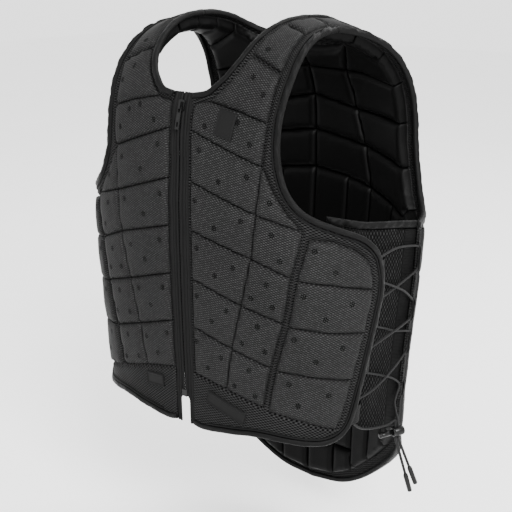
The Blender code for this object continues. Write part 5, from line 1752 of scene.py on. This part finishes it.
@dataclass
class Studio:
    """Pale floor, soft lights and the camera of the photograph."""

    azimuth: float = 39.0
    elevation: float = 15.8
    distance: float = 1.325
    lens: float = 79.0
    target: Triple = (-0.004, 0.0, -0.260)
    floor_height: float = -0.640

    def light(self, name: str, place: Triple, size: float, power: float) -> None:
        """Square soft light that points at the object."""
        data = bpy.data.lights.new(name, "AREA")
        data.shape, data.size, data.energy = "SQUARE", size, power
        lamp = bpy.data.objects.new(name, data)
        lamp.location = place
        lamp.rotation_euler = (Vector(self.target) - Vector(place)).to_track_quat("-Z", "Y").to_euler()
        bpy.context.scene.collection.objects.link(lamp)

    def build(self) -> None:
        """Make the floor, lights, world and camera."""
        work = bmesh.new()
        bmesh.ops.create_grid(work, x_segments=1, y_segments=1, size=6.0)
        bmesh.ops.translate(work, vec=(0.0, 0.0, self.floor_height), verts=work.verts)
        mesh = bpy.data.meshes.new("floor")
        work.to_mesh(mesh)
        work.free()
        bench = Bench("pale_floor", roughness=0.9)
        mesh.materials.append(bench.finish(bench.blend(bench.cloud(3.0), grey(0.93), grey(0.96))))
        floor = bpy.data.objects.new("floor", mesh)
        bpy.context.scene.collection.objects.link(floor)
        world = bpy.data.worlds.new("studio")
        world.use_nodes = True
        world.node_tree.nodes["Background"].inputs[0].default_value = (1.0, 1.0, 1.0, 1.0)
        world.node_tree.nodes["Background"].inputs[1].default_value = 2.2
        bpy.context.scene.world = world
        self.light("key", (1.9, -1.3, 1.2), 1.0, 175.0)
        self.light("fill", (-0.9, -2.1, 0.5), 1.6, 4.0)
        self.light("rim", (0.6, 1.8, 1.4), 1.2, 40.0)
        a, e = math.radians(self.azimuth), math.radians(self.elevation)
        back = Vector((math.sin(a) * math.cos(e), -math.cos(a) * math.cos(e), math.sin(e)))
        data = bpy.data.cameras.new("camera")
        data.lens, data.sensor_width = self.lens, 36.0
        camera = bpy.data.objects.new("camera", data)
        camera.location = Vector(self.target) + back * self.distance
        camera.rotation_euler = (-back).to_track_quat("-Z", "Y").to_euler()
        bpy.context.scene.collection.objects.link(camera)
        bpy.context.scene.camera = camera


def main() -> None:
    """Build every sub-assembly in order."""
    logging.basicConfig(level=logging.INFO, format="%(name)s: %(message)s")
    Studio().build()
    plastic = HardFinish("moulded_plastic").build()
    cord = BraidFinish("braided_cord").build()
    satin = SatinFinish("satin_tape").build()
    webbing = RibFinish("ribbed_webbing", period=0.0018, across=True, second=0.0016, tone=0.0055).build()
    sides = SidePanels(
        # open net tones: knots carry a painted glint, the near-black holes painted shade of the see-through
        net=NetFinish("open_side_net", rise=(150.0, 215.0), fall=(150.0, -215.0), thread=0.015, ground=0.0012,
                      hole=0.0003, open=0.7, relief=0.0006).build(),
        elastic=RibFinish("ribbed_elastic", period=0.0017, across=True, tone=0.0012, relief=0.0004).build(),
        satin=satin,
        webbing=webbing,
    )
    Lacing(cord=cord, plastic=plastic, sides=sides).build()
    sides.build()
    PanelSet(
        # net tones: knots carry a painted glint, holes painted shade
        cover=NetFinish("net_cover").build(),
        border=NetFinish("net_border", rise=(215.0, 290.0), fall=(115.0, -335.0), thread=0.020, ground=0.0080,
                         hole=0.0003, open=0.85, relief=0.0006).build(),
        lining=PlainClothFinish("smooth_lining", tone=0.0008, sheen=0.003).build(),
        # painted shade: near-black finish of the discs that stand for the vent holes
        dark=PlainClothFinish("vent_shade", tone=0.0003, sheen=0.0, roughness=0.9).build(),
    ).build()
    Bindings(
        satin=satin,
        thread=PlainClothFinish("sewing_thread", tone=0.0060, roughness=0.5).build(),
        edge=PlainClothFinish("rolled_cloth", tone=0.0026, roughness=0.6).build(),
    ).build()
    ZipFastener(
        tape=RibFinish("zip_tape_weave", period=0.0010, tone=0.0038, relief=0.0001).build(),
        coil=HardFinish("zip_coil_plastic", tone=0.003, roughness=0.4).build(),
        metal=HardFinish("painted_zip_metal", tone=0.0035, roughness=0.22, metallic=0.2).build(),
        plastic=plastic,
    ).build()
    Patches(look=PlainClothFinish("bare_patch", tone=0.0045, roughness=0.5, grain=1500.0).build()).build()


if __name__ == "__main__":
    main()
